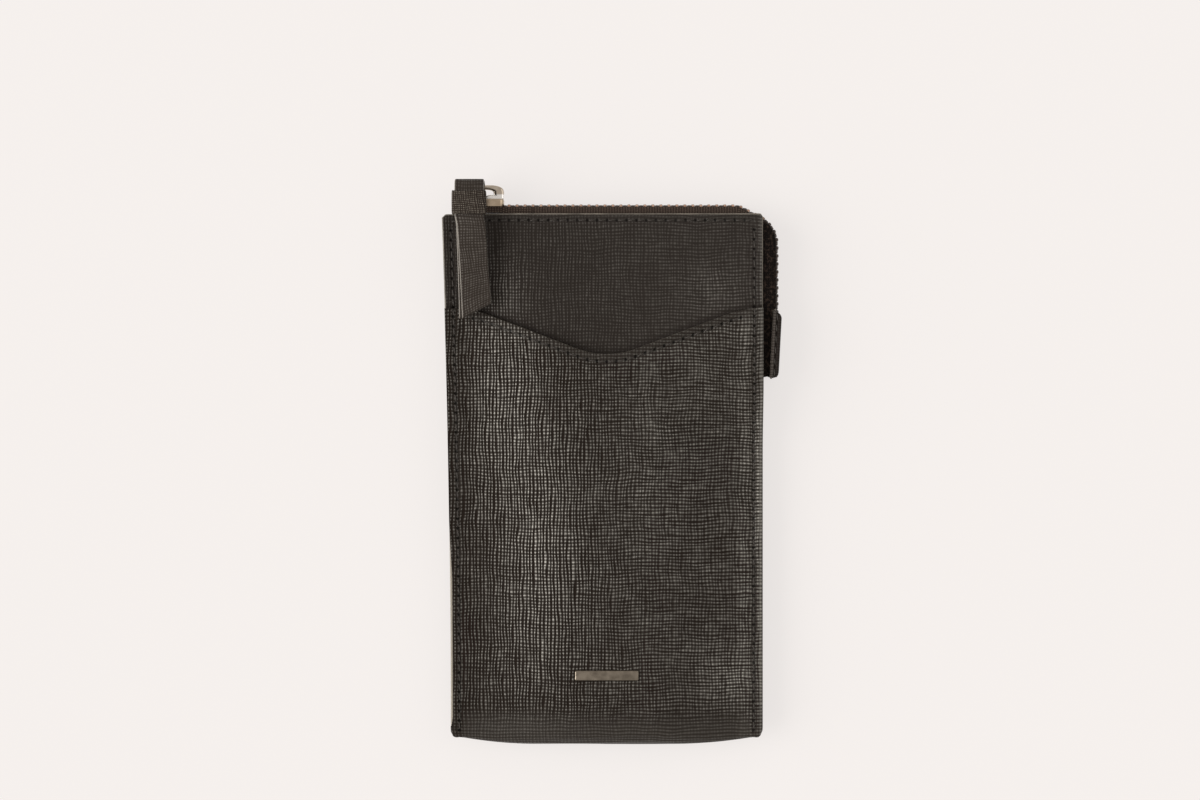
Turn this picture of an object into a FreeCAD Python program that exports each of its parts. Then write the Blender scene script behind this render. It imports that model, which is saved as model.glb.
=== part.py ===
import FreeCAD, Part
import Sketcher
import math
import os

# Phone pouch lying on its back: +Z out of the front, +Y towards the zip, +X to the right.
# The origin is the middle of the flat back face. Lengths in millimetres.

Vector = FreeCAD.Vector
document = FreeCAD.newDocument("phone_pouch")

# Driving dimensions
DIMENSIONS = (
    # pouch
    ("pouch_width", "105.2"),
    ("pouch_length", "178"),
    ("left_flare", "2.7"),
    ("fold_bulge", "2"),
    ("corner_round", "2"),
    ("side_land", "4.4"),
    ("rise_width", "24"),
    ("held_drop", "17"),
    ("settled_drop", "77"),
    ("inner_gap", "9.4"),
    ("pocket_gap", "0.6"),
    ("leather", "1.2"),
    ("lining", "0.4"),
    ("layer_gap", "0.05"),
    ("mouth_start", "80"),
    ("mouth_full", "56"),
    ("pocket_drop", "31.8"),
    ("pocket_dip", "15.6"),
    ("cut_overrun", "5"),
    # stitching
    ("thread", "0.55"),
    ("thread_lift", "0.03"),
    ("stitch_pitch", "3.2"),
    ("stitch_length", "2.3"),
    ("side_stitch_inset", "3"),
    ("top_stitch_inset", "2.3"),
    ("pocket_stitch_inset", "2.5"),
    # zip
    ("chain_rise", "2.1"),
    ("chain_reach", "4.2"),
    ("chain_radius", "12"),
    ("tooth_pitch", "2.7"),
    ("tooth_base", "1.5"),
    ("tooth_head", "1"),
    ("tooth_reach", "2.6"),
    ("tooth_hook", "1"),
    ("tooth_root", "0.4"),
    ("tooth_height", "1.8"),
    ("tape", "0.5"),
    ("tape_depth", "10"),
    ("tape_bend", "1.2"),
    ("tape_gap", "0.02"),
    ("tape_inset", "1.6"),
    ("tape_end_lift", "0.26"),
    ("teeth_inset", "8.8"),
    ("zip_drop", "54.5"),
    ("stop_length", "2"),
    ("stop_width", "1.4"),
    ("stop_spacing", "0.7"),
    # end tab
    ("tab_length", "22.3"),
    ("tab_leather", "1.1"),
    ("tab_clearance", "0.15"),
    ("tab_round", "1"),
    ("tab_past_zip", "0.8"),
    ("tab_stitch_inset", "1.6"),
    # slider
    ("slider_length", "13"),
    ("slider_width", "7.6"),
    ("slider_inset", "4.9"),
    ("slider_corner", "1.6"),
    ("top_plate", "1.3"),
    ("bottom_plate", "0.8"),
    ("top_clearance", "0.4"),
    ("bottom_clearance", "0.1"),
    ("channel_clearance", "0.2"),
    ("slot_clearance", "0.2"),
    ("wedge_length", "2.6"),
    ("wedge_width", "2"),
    ("wedge_inset", "0.6"),
    ("bridge_rise", "4.6"),
    ("bridge_bar", "2"),
    ("bridge_width", "2.4"),
    ("bridge_corner", "2.4"),
    # pull
    ("strap_width", "10.7"),
    ("strap_leather", "1.2"),
    ("strap_lift", "0.5"),
    ("strap_inset", "1.6"),
    ("leaf_gap", "0.1"),
    ("loop_radius", "1.9"),
    ("strap_bend", "1.7"),
    ("neck_width", "5"),
    ("neck_drop", "2.5"),
    ("strap_tail", "43.8"),
    ("strap_slant", "5"),
    ("keeper_leather", "0.9"),
    ("keeper_clearance", "0.05"),
    ("keeper_length", "7.8"),
    # badge
    ("badge_length", "21.4"),
    ("badge_height", "3.4"),
    ("badge_thickness", "1.1"),
    ("badge_round", "0.5"),
    ("badge_up", "23"),
    ("prong_spacing", "14"),
    ("prong_diameter", "1.2"),
    ("prong_clearance", "0.05"),
    ("backplate_thickness", "0.3"),
    ("badge_margin", "1.5"),
    ("backplate_margin", "0.7"),
)

# Shares and plain counts that shape the curves
SETTLE_SHARES = (0.06, 0.13, 0.21, 0.31, 0.42, 0.54, 0.67, 0.83)
RISE_POWER = 2
MOUTH_SHARES = (0.0, 0.2, 0.4, 0.6, 0.8, 1.0)
HELD_SHARES = (0.33, 0.67, 1.0)
VEE_ROUND_SHARE = 0.2
VEE_END_SHARE = 0.76
VEE_POINTS = 33
STRAP_LEAN_DEGREES = 3
STITCH_SAMPLE_SHARES = (0.0, 0.25, 0.5, 0.75, 1.0)

# Places worked out from the driving dimensions
PLACES = (
    ("half_width", "=sizes.pouch_width / 2"),
    ("top_y", "=sizes.pouch_length / 2"),
    ("land_x", "=half_width - sizes.side_land"),
    ("plateau_x", "=land_x - sizes.rise_width"),
    ("level_x", "=sizes.badge_length / 2 + sizes.badge_margin"),
    ("settle_width", "=land_x - level_x"),
    ("chain_z", "=sizes.leather + sizes.layer_gap + sizes.lining + sizes.inner_gap / 2"),
    ("panel_in_z", "=chain_z + sizes.inner_gap / 2 + sizes.lining + sizes.layer_gap"),
    ("panel_out_z", "=panel_in_z + sizes.leather"),
    ("pocket_in_z", "=panel_out_z + sizes.pocket_gap"),
    ("front_z", "=pocket_in_z + sizes.leather"),
    ("chain_y", "=top_y + sizes.chain_rise"),
    ("chain_x", "=half_width + sizes.chain_reach"),
    ("zip_end_y", "=top_y - sizes.zip_drop"),
    ("tape_start_x", "=-half_width + sizes.tape_inset"),
    ("teeth_start_x", "=-half_width + sizes.teeth_inset"),
    ("slider_x", "=-half_width + sizes.slider_inset"),
    ("plate_in_y", "=chain_y + sizes.tooth_height / 2 + sizes.top_clearance"),
    ("plate_out_y", "=plate_in_y + sizes.top_plate"),
    ("base_in_y", "=chain_y - sizes.tooth_height / 2 - sizes.bottom_clearance"),
    ("base_out_y", "=base_in_y - sizes.bottom_plate"),
    ("slot_half", "=sizes.tape / 2 + sizes.slot_clearance"),
    ("channel_half", "=sizes.tooth_reach + sizes.channel_clearance"),
    ("bridge_y", "=plate_out_y + sizes.bridge_rise"),
    ("bar_y", "=bridge_y - sizes.bridge_bar / 2"),
    ("strap_left", "=-half_width + sizes.strap_inset"),
    ("strap_right", "=strap_left + sizes.strap_width"),
    ("leaf_low_z", "=front_z + sizes.strap_lift + sizes.keeper_leather + sizes.keeper_clearance"),
    ("leaf_split_z", "=leaf_low_z + sizes.strap_leather"),
    ("leaf_top_z", "=leaf_split_z + sizes.leaf_gap + sizes.strap_leather"),
    ("bend_z", "=leaf_low_z - sizes.strap_bend"),
    ("outer_leaf_y", "=bar_y + sizes.loop_radius"),
    ("bend_y", "=outer_leaf_y - sizes.leaf_gap - sizes.strap_leather - sizes.strap_bend"),
    ("tail_y", "=bar_y - sizes.strap_tail"),
    ("badge_y", "=-top_y + sizes.badge_up"),
)


def fill_sheet(name, rows):
    """A sheet with one aliased cell for each row."""
    filled = document.addObject("Spreadsheet::Sheet", name)
    for number, (alias, text) in enumerate(rows, start=1):
        filled.set("A%d" % number, alias)
        filled.set("B%d" % number, text)
        filled.setAlias("B%d" % number, alias)
        document.recompute()
    return filled


sizes = fill_sheet("sizes", DIMENSIONS)
places = fill_sheet("places", PLACES)


def size(alias):
    return float(sizes.get(alias))


def place(alias):
    return float(places.get(alias))


# Height of the layers

def ease(share):
    """Smooth step from nothing to one, level at both ends."""
    share = min(max(share, 0), 1)
    return share * share * (3 - 2 * share)


def held_rise(x):
    """How full the pouch is at x where the zip holds its sides up: a parabola from the land."""
    share = (place("land_x") - abs(x)) / size("rise_width")
    return 1 - (1 - min(max(share, 0), 1)) ** RISE_POWER


def settled_rise(x):
    """How full the pouch is at x lower down, where the sides settle into a slow bell."""
    return ease((place("land_x") - abs(x)) / place("settle_width"))


def hold(y):
    """How far the zip holds the sides up: nothing low down, one near the top."""
    low = place("top_y") - size("settled_drop")
    high = place("top_y") - size("held_drop")
    return ease((y - low) / (high - low))


def mouth(y):
    """How far the right side is held open by the zip: one from the tab upwards."""
    start = place("top_y") - size("mouth_start")
    full = place("top_y") - size("mouth_full")
    return ease((y - start) / (full - start))


def fullness(x, y):
    """The rise of both sides, opened on the right beside the zip."""
    rise = settled_rise(x) + (held_rise(x) - settled_rise(x)) * hold(y)
    if x < 0:
        return rise
    return 1 - (1 - rise) * (1 - mouth(y))


def layers(full):
    """Heights of the layer faces, from the back's outer face to the pocket's outer face."""
    gap = size("layer_gap") + (size("inner_gap") - size("layer_gap")) * full
    pocket = size("layer_gap") + (size("pocket_gap") - size("layer_gap")) * full
    back_in = place("chain_z") - gap / 2 - size("lining") - size("layer_gap")
    panel_in = place("chain_z") + gap / 2 + size("lining") + size("layer_gap")
    pocket_in = panel_in + size("leather") + pocket
    return {
        "back_out": back_in - size("leather"),
        "back_in": back_in,
        "lining_back_out": back_in + size("layer_gap"),
        "lining_back_in": back_in + size("layer_gap") + size("lining"),
        "lining_front_in": place("chain_z") + gap / 2,
        "lining_front_out": place("chain_z") + gap / 2 + size("lining"),
        "panel_in": panel_in,
        "panel_out": panel_in + size("leather"),
        "pocket_in": pocket_in,
        "front": pocket_in + size("leather"),
    }


def row_stations():
    """Heights on the page where the form changes: beside the mouth, then up to the held top."""
    start = place("top_y") - size("mouth_start")
    full = place("top_y") - size("mouth_full")
    held = place("top_y") - size("held_drop")
    beside = [start + (full - start) * share for share in MOUTH_SHARES]
    return beside + [full + (held - full) * share for share in HELD_SHARES]


def side_stations():
    """Section places across the pouch, closer together where the sides rise."""
    shares = [0] + list(SETTLE_SHARES) + [1]
    inner = [place("land_x") - place("settle_width") * share for share in shares]
    left_end = -place("half_width") - size("left_flare") - size("cut_overrun")
    right_end = place("half_width") + size("cut_overrun")
    return [left_end] + [-x for x in inner] + inner[::-1] + [right_end]


def fold_start(x):
    """Where the straight front and back end and the fold under the bottom begins."""
    level = layers(settled_rise(x))
    lowest = -place("top_y") + size("fold_bulge") * (1 - held_rise(x))
    return lowest + (level["front"] - level["back_out"]) / 2


def left_edge(y):
    """The left edge spreads a little towards the zip."""
    share = (y + place("top_y")) / size("pouch_length")
    return -place("half_width") - size("left_flare") * share ** 2


def pocket_edge(x):
    """Rounded V: level at the seams, straight slopes, round at the middle."""
    half = place("half_width")
    inner = VEE_ROUND_SHARE * half
    outer = VEE_END_SHARE * half
    slope = size("pocket_dip") / (inner / 2 + outer - inner + (half - outer) / 2)
    reach = min(abs(x), half)
    if reach < inner:
        climb = slope * reach ** 2 / (2 * inner)
    elif reach < outer:
        climb = slope * (reach - inner / 2)
    else:
        climb = size("pocket_dip") - slope * (half - reach) ** 2 / (2 * (half - outer))
    return place("top_y") - size("pocket_drop") - size("pocket_dip") + climb


# Shapes of the sheets

def line(start, end):
    return Part.LineSegment(start, end).toShape()


def fold_edges(x, high, low, turn_y, outward):
    """Two quarter arcs under the bottom, from the front face to the back face."""
    middle = (high + low) / 2
    radius = (high - low) / 2
    slant = radius * math.sqrt(0.5)
    bottom = Vector(x, turn_y - radius, middle)
    front = Vector(x, turn_y, high)
    back = Vector(x, turn_y, low)
    front_half = Vector(x, turn_y - slant, middle + slant)
    back_half = Vector(x, turn_y - slant, middle - slant)
    arcs = [Part.Arc(front, front_half, bottom), Part.Arc(bottom, back_half, back)]
    if not outward:
        arcs = [Part.Arc(back, back_half, bottom), Part.Arc(bottom, front_half, front)]
    return [arc.toShape() for arc in arcs]


def run_points(x, face, top):
    """Points of one face from the fold up to the top at section x."""
    stations = [fold_start(x)] + row_stations() + [top]
    return [Vector(x, y, layers(fullness(x, y))[face]) for y in stations]


def chain_edges(points):
    return [line(start, end) for start, end in zip(points, points[1:])]


def folded_section(x, faces, top):
    """Section of a sheet that goes down the front, round the fold and up the back."""
    front_out, front_in, back_in, back_out = [run_points(x, face, top) for face in faces]
    turn = fold_start(x)
    edges = chain_edges(front_out[::-1])
    edges += fold_edges(x, front_out[0].z, back_out[0].z, turn, True)
    edges += chain_edges(back_out)
    edges.append(line(back_out[-1], back_in[-1]))
    edges += chain_edges(back_in[::-1])
    edges += fold_edges(x, front_in[0].z, back_in[0].z, turn, False)
    edges += chain_edges(front_in)
    edges.append(line(front_in[-1], front_out[-1]))
    return Part.Wire(edges)


def flat_section(x, upper, lower, top):
    """Section of a sheet that lies in the front only."""
    high = run_points(x, upper, top)
    low = run_points(x, lower, top)
    edges = chain_edges(high) + [line(high[-1], low[-1])]
    edges += chain_edges(low[::-1]) + [line(low[0], high[0])]
    return Part.Wire(edges)


def ruled_solid(sections):
    return Part.makeLoft(sections, True, True)


def prism(edges, low, high):
    """Upright solid over a closed plan outline."""
    face = Part.Face(Part.Wire(edges))
    face.translate(Vector(0, 0, low))
    return face.extrude(Vector(0, 0, high - low))


def plan_outline():
    """Upright solid over the pouch's outline, with rounded bottom corners."""
    over = size("cut_overrun")
    top = place("top_y")
    low = -top - over
    corner_y = -top + size("fold_bulge")
    radius = size("corner_round")
    slant = radius * (1 - math.sqrt(0.5))
    left = left_edge(corner_y)
    right = place("half_width")
    edges = [
        line(Vector(left + radius, low), Vector(left + radius, corner_y)),
        Part.Arc(
            Vector(left + radius, corner_y),
            Vector(left + slant, corner_y + slant),
            Vector(left, corner_y + radius),
        ).toShape(),
        Part.Arc(
            Vector(left, corner_y + radius),
            Vector(left_edge(0), 0),
            Vector(left_edge(top), top),
        ).toShape(),
        line(Vector(left_edge(top), top), Vector(right, top)),
        line(Vector(right, top), Vector(right, corner_y + radius)),
        Part.Arc(
            Vector(right, corner_y + radius),
            Vector(right - slant, corner_y + slant),
            Vector(right - radius, corner_y),
        ).toShape(),
        line(Vector(right - radius, corner_y), Vector(right - radius, low)),
        line(Vector(right - radius, low), Vector(left + radius, low)),
    ]
    return prism(edges, -over, place("front_z") + over)


def pocket_opening():
    """Upright solid over everything above the pocket's edge, from the middle height up."""
    over = size("cut_overrun")
    reach = place("half_width") + size("left_flare") + over
    step = 2 * reach / (VEE_POINTS - 1)
    xs = [-reach + step * number for number in range(VEE_POINTS)]
    curve = Part.BSplineCurve()
    curve.interpolate([Vector(x, pocket_edge(x)) for x in xs])
    top = place("top_y") + over
    left = Vector(-reach, pocket_edge(reach))
    right = Vector(reach, pocket_edge(reach))
    edges = [curve.toShape(), line(right, Vector(reach, top))]
    edges += [line(Vector(reach, top), Vector(-reach, top)), line(Vector(-reach, top), left)]
    return prism(edges, place("chain_z"), place("front_z") + over)


def prong_holes():
    radius = size("prong_diameter") / 2 + size("prong_clearance")
    deep = size("leather") + size("pocket_gap")
    holes = []
    for side in (-1, 1):
        foot = Vector(side * size("prong_spacing") / 2, place("badge_y"), place("front_z") - deep)
        holes.append(Part.makeCylinder(radius, deep + size("cut_overrun"), foot))
    return Part.makeCompound(holes)


def add_shape(label, shape):
    made = document.addObject("Part::Feature", label)
    made.Label = label
    made.Shape = shape
    return made


def add_outer_wrap():
    faces = ("front", "pocket_in", "back_in", "back_out")
    wrap = ruled_solid([folded_section(x, faces, place("top_y")) for x in side_stations()])
    wrap = wrap.common(plan_outline())
    wrap = wrap.cut(pocket_opening())
    wrap = wrap.cut(prong_holes())
    return add_shape("outer_wrap", wrap.removeSplitter())


def add_front_panel():
    sections = [flat_section(x, "panel_out", "panel_in", place("top_y")) for x in side_stations()]
    panel = ruled_solid(sections).common(plan_outline())
    return add_shape("front_panel", panel.removeSplitter())


def add_lining_bag():
    """The lining ends at the inner edge of the zip tape."""
    faces = ("lining_front_out", "lining_front_in", "lining_back_in", "lining_back_out")
    top = place("chain_y") - size("tape_depth") - size("layer_gap")
    bag = ruled_solid([folded_section(x, faces, top) for x in side_stations()])
    bag = bag.common(plan_outline())
    over = size("cut_overrun")
    side = place("chain_x") - size("tape_depth") - size("layer_gap")
    below = place("zip_end_y") - size("layer_gap")
    reach = size("tape_depth") + over
    height = place("front_z") + 2 * over
    beside_zip = Part.makeBox(reach, size("zip_drop") + over, height, Vector(side, below, -over))
    corner_x = place("chain_x") - size("chain_radius")
    corner_y = place("chain_y") - size("chain_radius")
    in_corner = Part.makeBox(reach, reach, height, Vector(corner_x, corner_y, -over))
    bag = bag.cut(Part.makeCompound([beside_zip, in_corner]))
    return add_shape("lining_bag", bag.removeSplitter())


# Thread

def surface(x, y, face):
    """Height of a face between the straight-edged section stations."""
    stations = side_stations()
    right = next(number for number, station in enumerate(stations) if station >= x)
    left = max(right - 1, 0)
    span = stations[right] - stations[left]
    share = (x - stations[left]) / span if span else 0
    rows = row_stations() + [place("top_y")]
    if y <= rows[0]:
        heights = [layers(settled_rise(stations[n]))[face] for n in (left, right)]
    else:
        upper = next(number for number, row in enumerate(rows) if row >= y)
        part = (y - rows[upper - 1]) / (rows[upper] - rows[upper - 1])
        heights = []
        for n in (left, right):
            low = layers(fullness(stations[n], rows[upper - 1]))[face]
            high = layers(fullness(stations[n], rows[upper]))[face]
            heights.append(low + (high - low) * part)
    return heights[0] + (heights[1] - heights[0]) * share


def stitch(start, end, height):
    """One stitch: a short round thread lying on a face, clear of its highest point."""
    radius = size("thread") / 2
    low = Vector(start.x, start.y, height(start.x, start.y))
    high = Vector(end.x, end.y, height(end.x, end.y))
    lift = 0
    for share in STITCH_SAMPLE_SHARES:
        point = low + (high - low) * share
        lift = max(lift, height(point.x, point.y) - point.z)
    side = Vector(low.y - high.y, high.x - low.x, 0).normalize() * radius
    for edge in (side, -side):
        for share in STITCH_SAMPLE_SHARES:
            point = low + (high - low) * share
            sample = height(point.x + edge.x, point.y + edge.y)
            lift = max(lift, sample - point.z - radius)
    along = high - low
    flat = math.hypot(along.x, along.y)
    raised = Vector(0, 0, lift + radius * along.Length / flat + size("thread_lift"))
    return Part.makeCylinder(radius, along.Length, low + raised, along)


def stitch_row(label, route, length, height):
    """Stitches at an even pitch along route, a function of the distance along it."""
    count = int(length / size("stitch_pitch"))
    pitch = length / count
    made = []
    for number in range(count):
        middle = (number + 0.5) * pitch
        start = route(middle - size("stitch_length") / 2)
        end = route(middle + size("stitch_length") / 2)
        made.append(stitch(start, end, height))
    return add_shape(label, Part.makeCompound(made))


def front_face(x, y):
    """The outermost front face: the pocket below its edge, the panel above it."""
    edge_clear = size("thread")
    if y < pocket_edge(x) + edge_clear:
        return surface(x, y, "front")
    return surface(x, y, "panel_out")


def add_stitching():
    low = -place("top_y") + size("fold_bulge") + size("corner_round")
    high = place("top_y") - size("top_stitch_inset") - size("stitch_pitch")
    inset = size("side_stitch_inset")
    stitch_row(
        "stitching_left",
        lambda along: Vector(left_edge(low + along) + inset, low + along),
        high - low,
        front_face,
    )
    right = place("half_width") - inset
    stitch_row("stitching_right", lambda along: Vector(right, low + along), high - low, front_face)
    row_y = place("top_y") - size("top_stitch_inset")
    left = left_edge(row_y) + inset
    stitch_row(
        "stitching_top",
        lambda along: Vector(left + along, row_y),
        right - left,
        lambda x, y: surface(x, y, "panel_out"),
    )
    start = -place("land_x") + size("stitch_pitch")
    drop = size("pocket_stitch_inset")
    stitch_row(
        "stitching_pocket",
        lambda along: Vector(start + along, pocket_edge(start + along) - drop),
        -2 * start,
        lambda x, y: surface(x, y, "front"),
    )


# Zip chain

def chain_place(along):
    """Point and turn of the chain's middle line at a distance from the start of the teeth."""
    straight = place("chain_x") - size("chain_radius") - place("teeth_start_x")
    quarter = math.pi / 2 * size("chain_radius")
    centre_x = place("chain_x") - size("chain_radius")
    centre_y = place("chain_y") - size("chain_radius")
    if along < straight:
        return Vector(place("teeth_start_x") + along, place("chain_y"), place("chain_z")), 0
    if along < straight + quarter:
        turn = (along - straight) / size("chain_radius")
        x = centre_x + size("chain_radius") * math.sin(turn)
        y = centre_y + size("chain_radius") * math.cos(turn)
        return Vector(x, y, place("chain_z")), -math.degrees(turn)
    down = along - straight - quarter
    return Vector(place("chain_x"), centre_y - down, place("chain_z")), -90


def chain_length():
    straight = place("chain_x") - size("chain_radius") - place("teeth_start_x")
    quarter = math.pi / 2 * size("chain_radius")
    end = place("zip_end_y") + 2 * size("stop_length")
    return straight + quarter + place("chain_y") - size("chain_radius") - end


def tooth(side):
    """A tooth that reaches from its tape past the middle line, broad at the root."""
    base = size("tooth_base") / 2
    head = size("tooth_head") / 2
    profile = [
        (-base, size("tooth_reach")),
        (base, size("tooth_reach")),
        (base, size("tooth_root") + size("tooth_hook")),
        (head, size("tooth_root")),
        (head, -size("tooth_hook")),
        (-head, -size("tooth_hook")),
        (-head, size("tooth_root")),
        (-base, size("tooth_root") + size("tooth_hook")),
    ]
    half = size("tooth_height") / 2
    points = [Vector(x, -half, side * z) for x, z in profile]
    face = Part.Face(Part.makePolygon(points + points[:1]))
    return face.extrude(Vector(0, size("tooth_height"), 0))


def add_teeth(label, side, lead):
    """One row of teeth, started part of a pitch along so that the rows mesh."""
    count = int((chain_length() - size("tooth_pitch")) / size("tooth_pitch"))
    single = tooth(side)
    made = []
    for number in range(count):
        point, turn = chain_place((number + lead) * size("tooth_pitch"))
        copy = single.copy()
        copy.Placement = FreeCAD.Placement(point, FreeCAD.Rotation(Vector(0, 0, 1), turn))
        made.append(copy)
    return add_shape(label, Part.makeCompound(made))


# Sketched bodies

def origin_plane(body, role):
    return next(plane for plane in body.Origin.OriginFeatures if plane.Role == role)


def add_body(label):
    body = document.addObject("PartDesign::Body", label)
    body.Label = label
    return body


def add_sketch(body, name, role, offset=None):
    """A sketch on one of the body's own planes, moved along that plane's normal."""
    sketch = body.newObject("Sketcher::SketchObject", name)
    sketch.AttachmentSupport = (origin_plane(body, role), [""])
    sketch.MapMode = "FlatFace"
    if offset:
        sketch.setExpression("AttachmentOffset.Base.z", offset)
    return sketch


def pin_point(sketch, geometry, vertex, across, up):
    """Hold a sketch point at two expressions."""
    for kind, text in (("DistanceX", across), ("DistanceY", up)):
        number = sketch.addConstraint(Sketcher.Constraint(kind, -1, 1, geometry, vertex, 1.0))
        sketch.setExpression("Constraints[%d]" % number, text)


def draw_outline(sketch, corners):
    """A closed outline whose corners are pairs of expressions."""
    count = len(corners)
    first = sketch.GeometryCount
    turn = 2 * math.pi / count
    guess = [Vector(math.cos(turn * n), math.sin(turn * n), 0) for n in range(count)]
    for number in range(count):
        sketch.addGeometry(Part.LineSegment(guess[number], guess[(number + 1) % count]), False)
    for number in range(count):
        following = first + (number + 1) % count
        sketch.addConstraint(Sketcher.Constraint("Coincident", first + number, 2, following, 1))
    for number, (across, up) in enumerate(corners):
        pin_point(sketch, first + number, 1, across, up)


def draw_circle(sketch, across, up, radius):
    number = sketch.addGeometry(Part.Circle(Vector(1, 1, 0), Vector(0, 0, 1), 1), False)
    pin_point(sketch, number, 3, across, up)
    held = sketch.addConstraint(Sketcher.Constraint("Radius", number, 1.0))
    sketch.setExpression("Constraints[%d]" % held, radius)


def draw_rectangle(sketch, low_x, low_y, high_x, high_y):
    draw_outline(sketch, [(low_x, low_y), (high_x, low_y), (high_x, high_y), (low_x, high_y)])


def add_pad(body, sketch, length, reverse=False):
    pad = body.newObject("PartDesign::Pad", "Pad")
    pad.Profile = sketch
    pad.setExpression("Length", length)
    pad.Reversed = reverse
    document.recompute()
    return pad


def add_fillet(body, base, radius, chosen):
    """Round the edges of base that the test picks."""
    document.recompute()
    names = [
        "Edge%d" % number
        for number, edge in enumerate(base.Shape.Edges, start=1)
        if chosen(edge)
    ]
    fillet = body.newObject("PartDesign::Fillet", "Fillet")
    fillet.Base = (base, names)
    fillet.setExpression("Radius", radius)
    document.recompute()
    return fillet


def runs_along(edge, axis):
    """True for a straight edge parallel to an axis."""
    if len(edge.Vertexes) < 2:
        return False
    span = edge.Vertexes[-1].Point - edge.Vertexes[0].Point
    return abs(abs(span.dot(axis)) - edge.Length) < edge.Length * Part.Precision.confusion()


X_AXIS = Vector(1, 0, 0)
Y_AXIS = Vector(0, 1, 0)
Z_AXIS = Vector(0, 0, 1)


def add_tape(label, side):
    """One half of the zip tape, bent over and swept along the top, the corner and the side."""
    body = add_body(label)
    start = "places.tape_start_x"
    sign = "+" if side > 0 else "-"
    profile = add_sketch(body, "tape_section", "YZ_Plane", start)
    half = "sizes.tape / 2"
    edge = "places.chain_z %s (sizes.tooth_reach + sizes.tape_gap)" % sign
    gap = "(sizes.inner_gap / 2 + sizes.lining)"
    leaf_out = "places.chain_z %s %s" % (sign, gap)
    leaf_in = "places.chain_z %s (%s - sizes.tape)" % (sign, gap)
    bend_out = "places.chain_z %s (%s - sizes.tape_bend)" % (sign, gap)
    depth = "places.chain_y - sizes.tape_depth"
    outer = "places.chain_y + " + half
    inner = "places.chain_y - " + half
    draw_outline(profile, [
        (outer, edge),
        (outer, bend_out),
        (outer + " - sizes.tape_bend", leaf_out),
        (depth, leaf_out),
        (depth, leaf_in),
        (outer + " - sizes.tape_bend", leaf_in),
        (inner, bend_out),
        (inner, edge),
    ])
    spine = add_sketch(body, "tape_route", "XY_Plane")
    radius = size("chain_radius")
    corner = Vector(place("chain_x") - radius, place("chain_y") - radius, 0)
    begin = Vector(place("tape_start_x"), place("chain_y"), 0)
    arc_start = corner + Y_AXIS * radius
    arc_end = corner + X_AXIS * radius
    finish = Vector(place("chain_x"), place("zip_end_y"), 0)
    quarter = Part.ArcOfCircle(Part.Circle(corner, Z_AXIS, radius), 0, math.pi / 2)
    spine.addGeometry(Part.LineSegment(begin, arc_start), False)
    spine.addGeometry(quarter, False)
    spine.addGeometry(Part.LineSegment(arc_end, finish), False)
    spine.addConstraint(Sketcher.Constraint("Tangent", 0, 2, 1, 2))
    spine.addConstraint(Sketcher.Constraint("Tangent", 1, 1, 2, 1))
    spine.addConstraint(Sketcher.Constraint("Horizontal", 0))
    spine.addConstraint(Sketcher.Constraint("Vertical", 2))
    held = spine.addConstraint(Sketcher.Constraint("Radius", 1, radius))
    spine.setExpression("Constraints[%d]" % held, "sizes.chain_radius")
    pin_point(spine, 0, 1, start, "places.chain_y")
    pin_point(spine, 2, 2, "places.chain_x", "places.zip_end_y")
    document.recompute()
    pipe = body.newObject("PartDesign::AdditivePipe", "tape_sweep")
    pipe.Profile = profile
    pipe.Spine = (spine, ["Edge1", "Edge2", "Edge3"])
    document.recompute()
    trim = add_sketch(body, "left_end_trim", "XY_Plane")
    draw_rectangle(
        trim,
        "places.tape_start_x - sizes.cut_overrun",
        "places.chain_y - sizes.tape_depth - sizes.cut_overrun",
        "-places.plateau_x",
        "places.top_y + sizes.tape_end_lift",
    )
    before = pipe.Shape.Volume
    pocket = body.newObject("PartDesign::Pocket", "left_end_cut")
    pocket.Profile = trim
    pocket.Reversed = True
    pocket.setExpression("Length", "places.front_z + sizes.cut_overrun")
    document.recompute()
    if pocket.Shape.Volume >= before:
        raise RuntimeError("the tape's left end was not cut")
    return body


def add_top_stop(label, side):
    """Small metal clamp on the end of one tape, just left of the slider."""
    body = add_body(label)
    end = "places.slider_x - sizes.stop_spacing - sizes.stop_length"
    sketch = add_sketch(body, "stop_section", "YZ_Plane", end)
    sign = "+" if side > 0 else "-"
    far = "places.chain_z %s sizes.tooth_reach" % sign
    near = "places.chain_z %s (sizes.tooth_reach - sizes.stop_width)" % sign
    low = "places.chain_y - sizes.tooth_height / 2"
    high = "places.chain_y + sizes.tooth_height / 2"
    draw_rectangle(sketch, low, near, high, far)
    add_pad(body, sketch, "sizes.stop_length")
    return body


def add_bottom_stop():
    """Metal clamp across both rows at the lower end of the zip."""
    body = add_body("zipper_bottom_stop")
    sketch = add_sketch(body, "stop_section", "XY_Plane", "places.chain_z - sizes.tooth_reach")
    low_x = "places.chain_x - sizes.tooth_height / 2"
    high_x = "places.chain_x + sizes.tooth_height / 2"
    low_y = "places.zip_end_y + sizes.tape_gap"
    draw_rectangle(sketch, low_x, low_y, high_x, low_y + " + sizes.stop_length")
    add_pad(body, sketch, "2 * sizes.tooth_reach")
    return body


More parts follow.
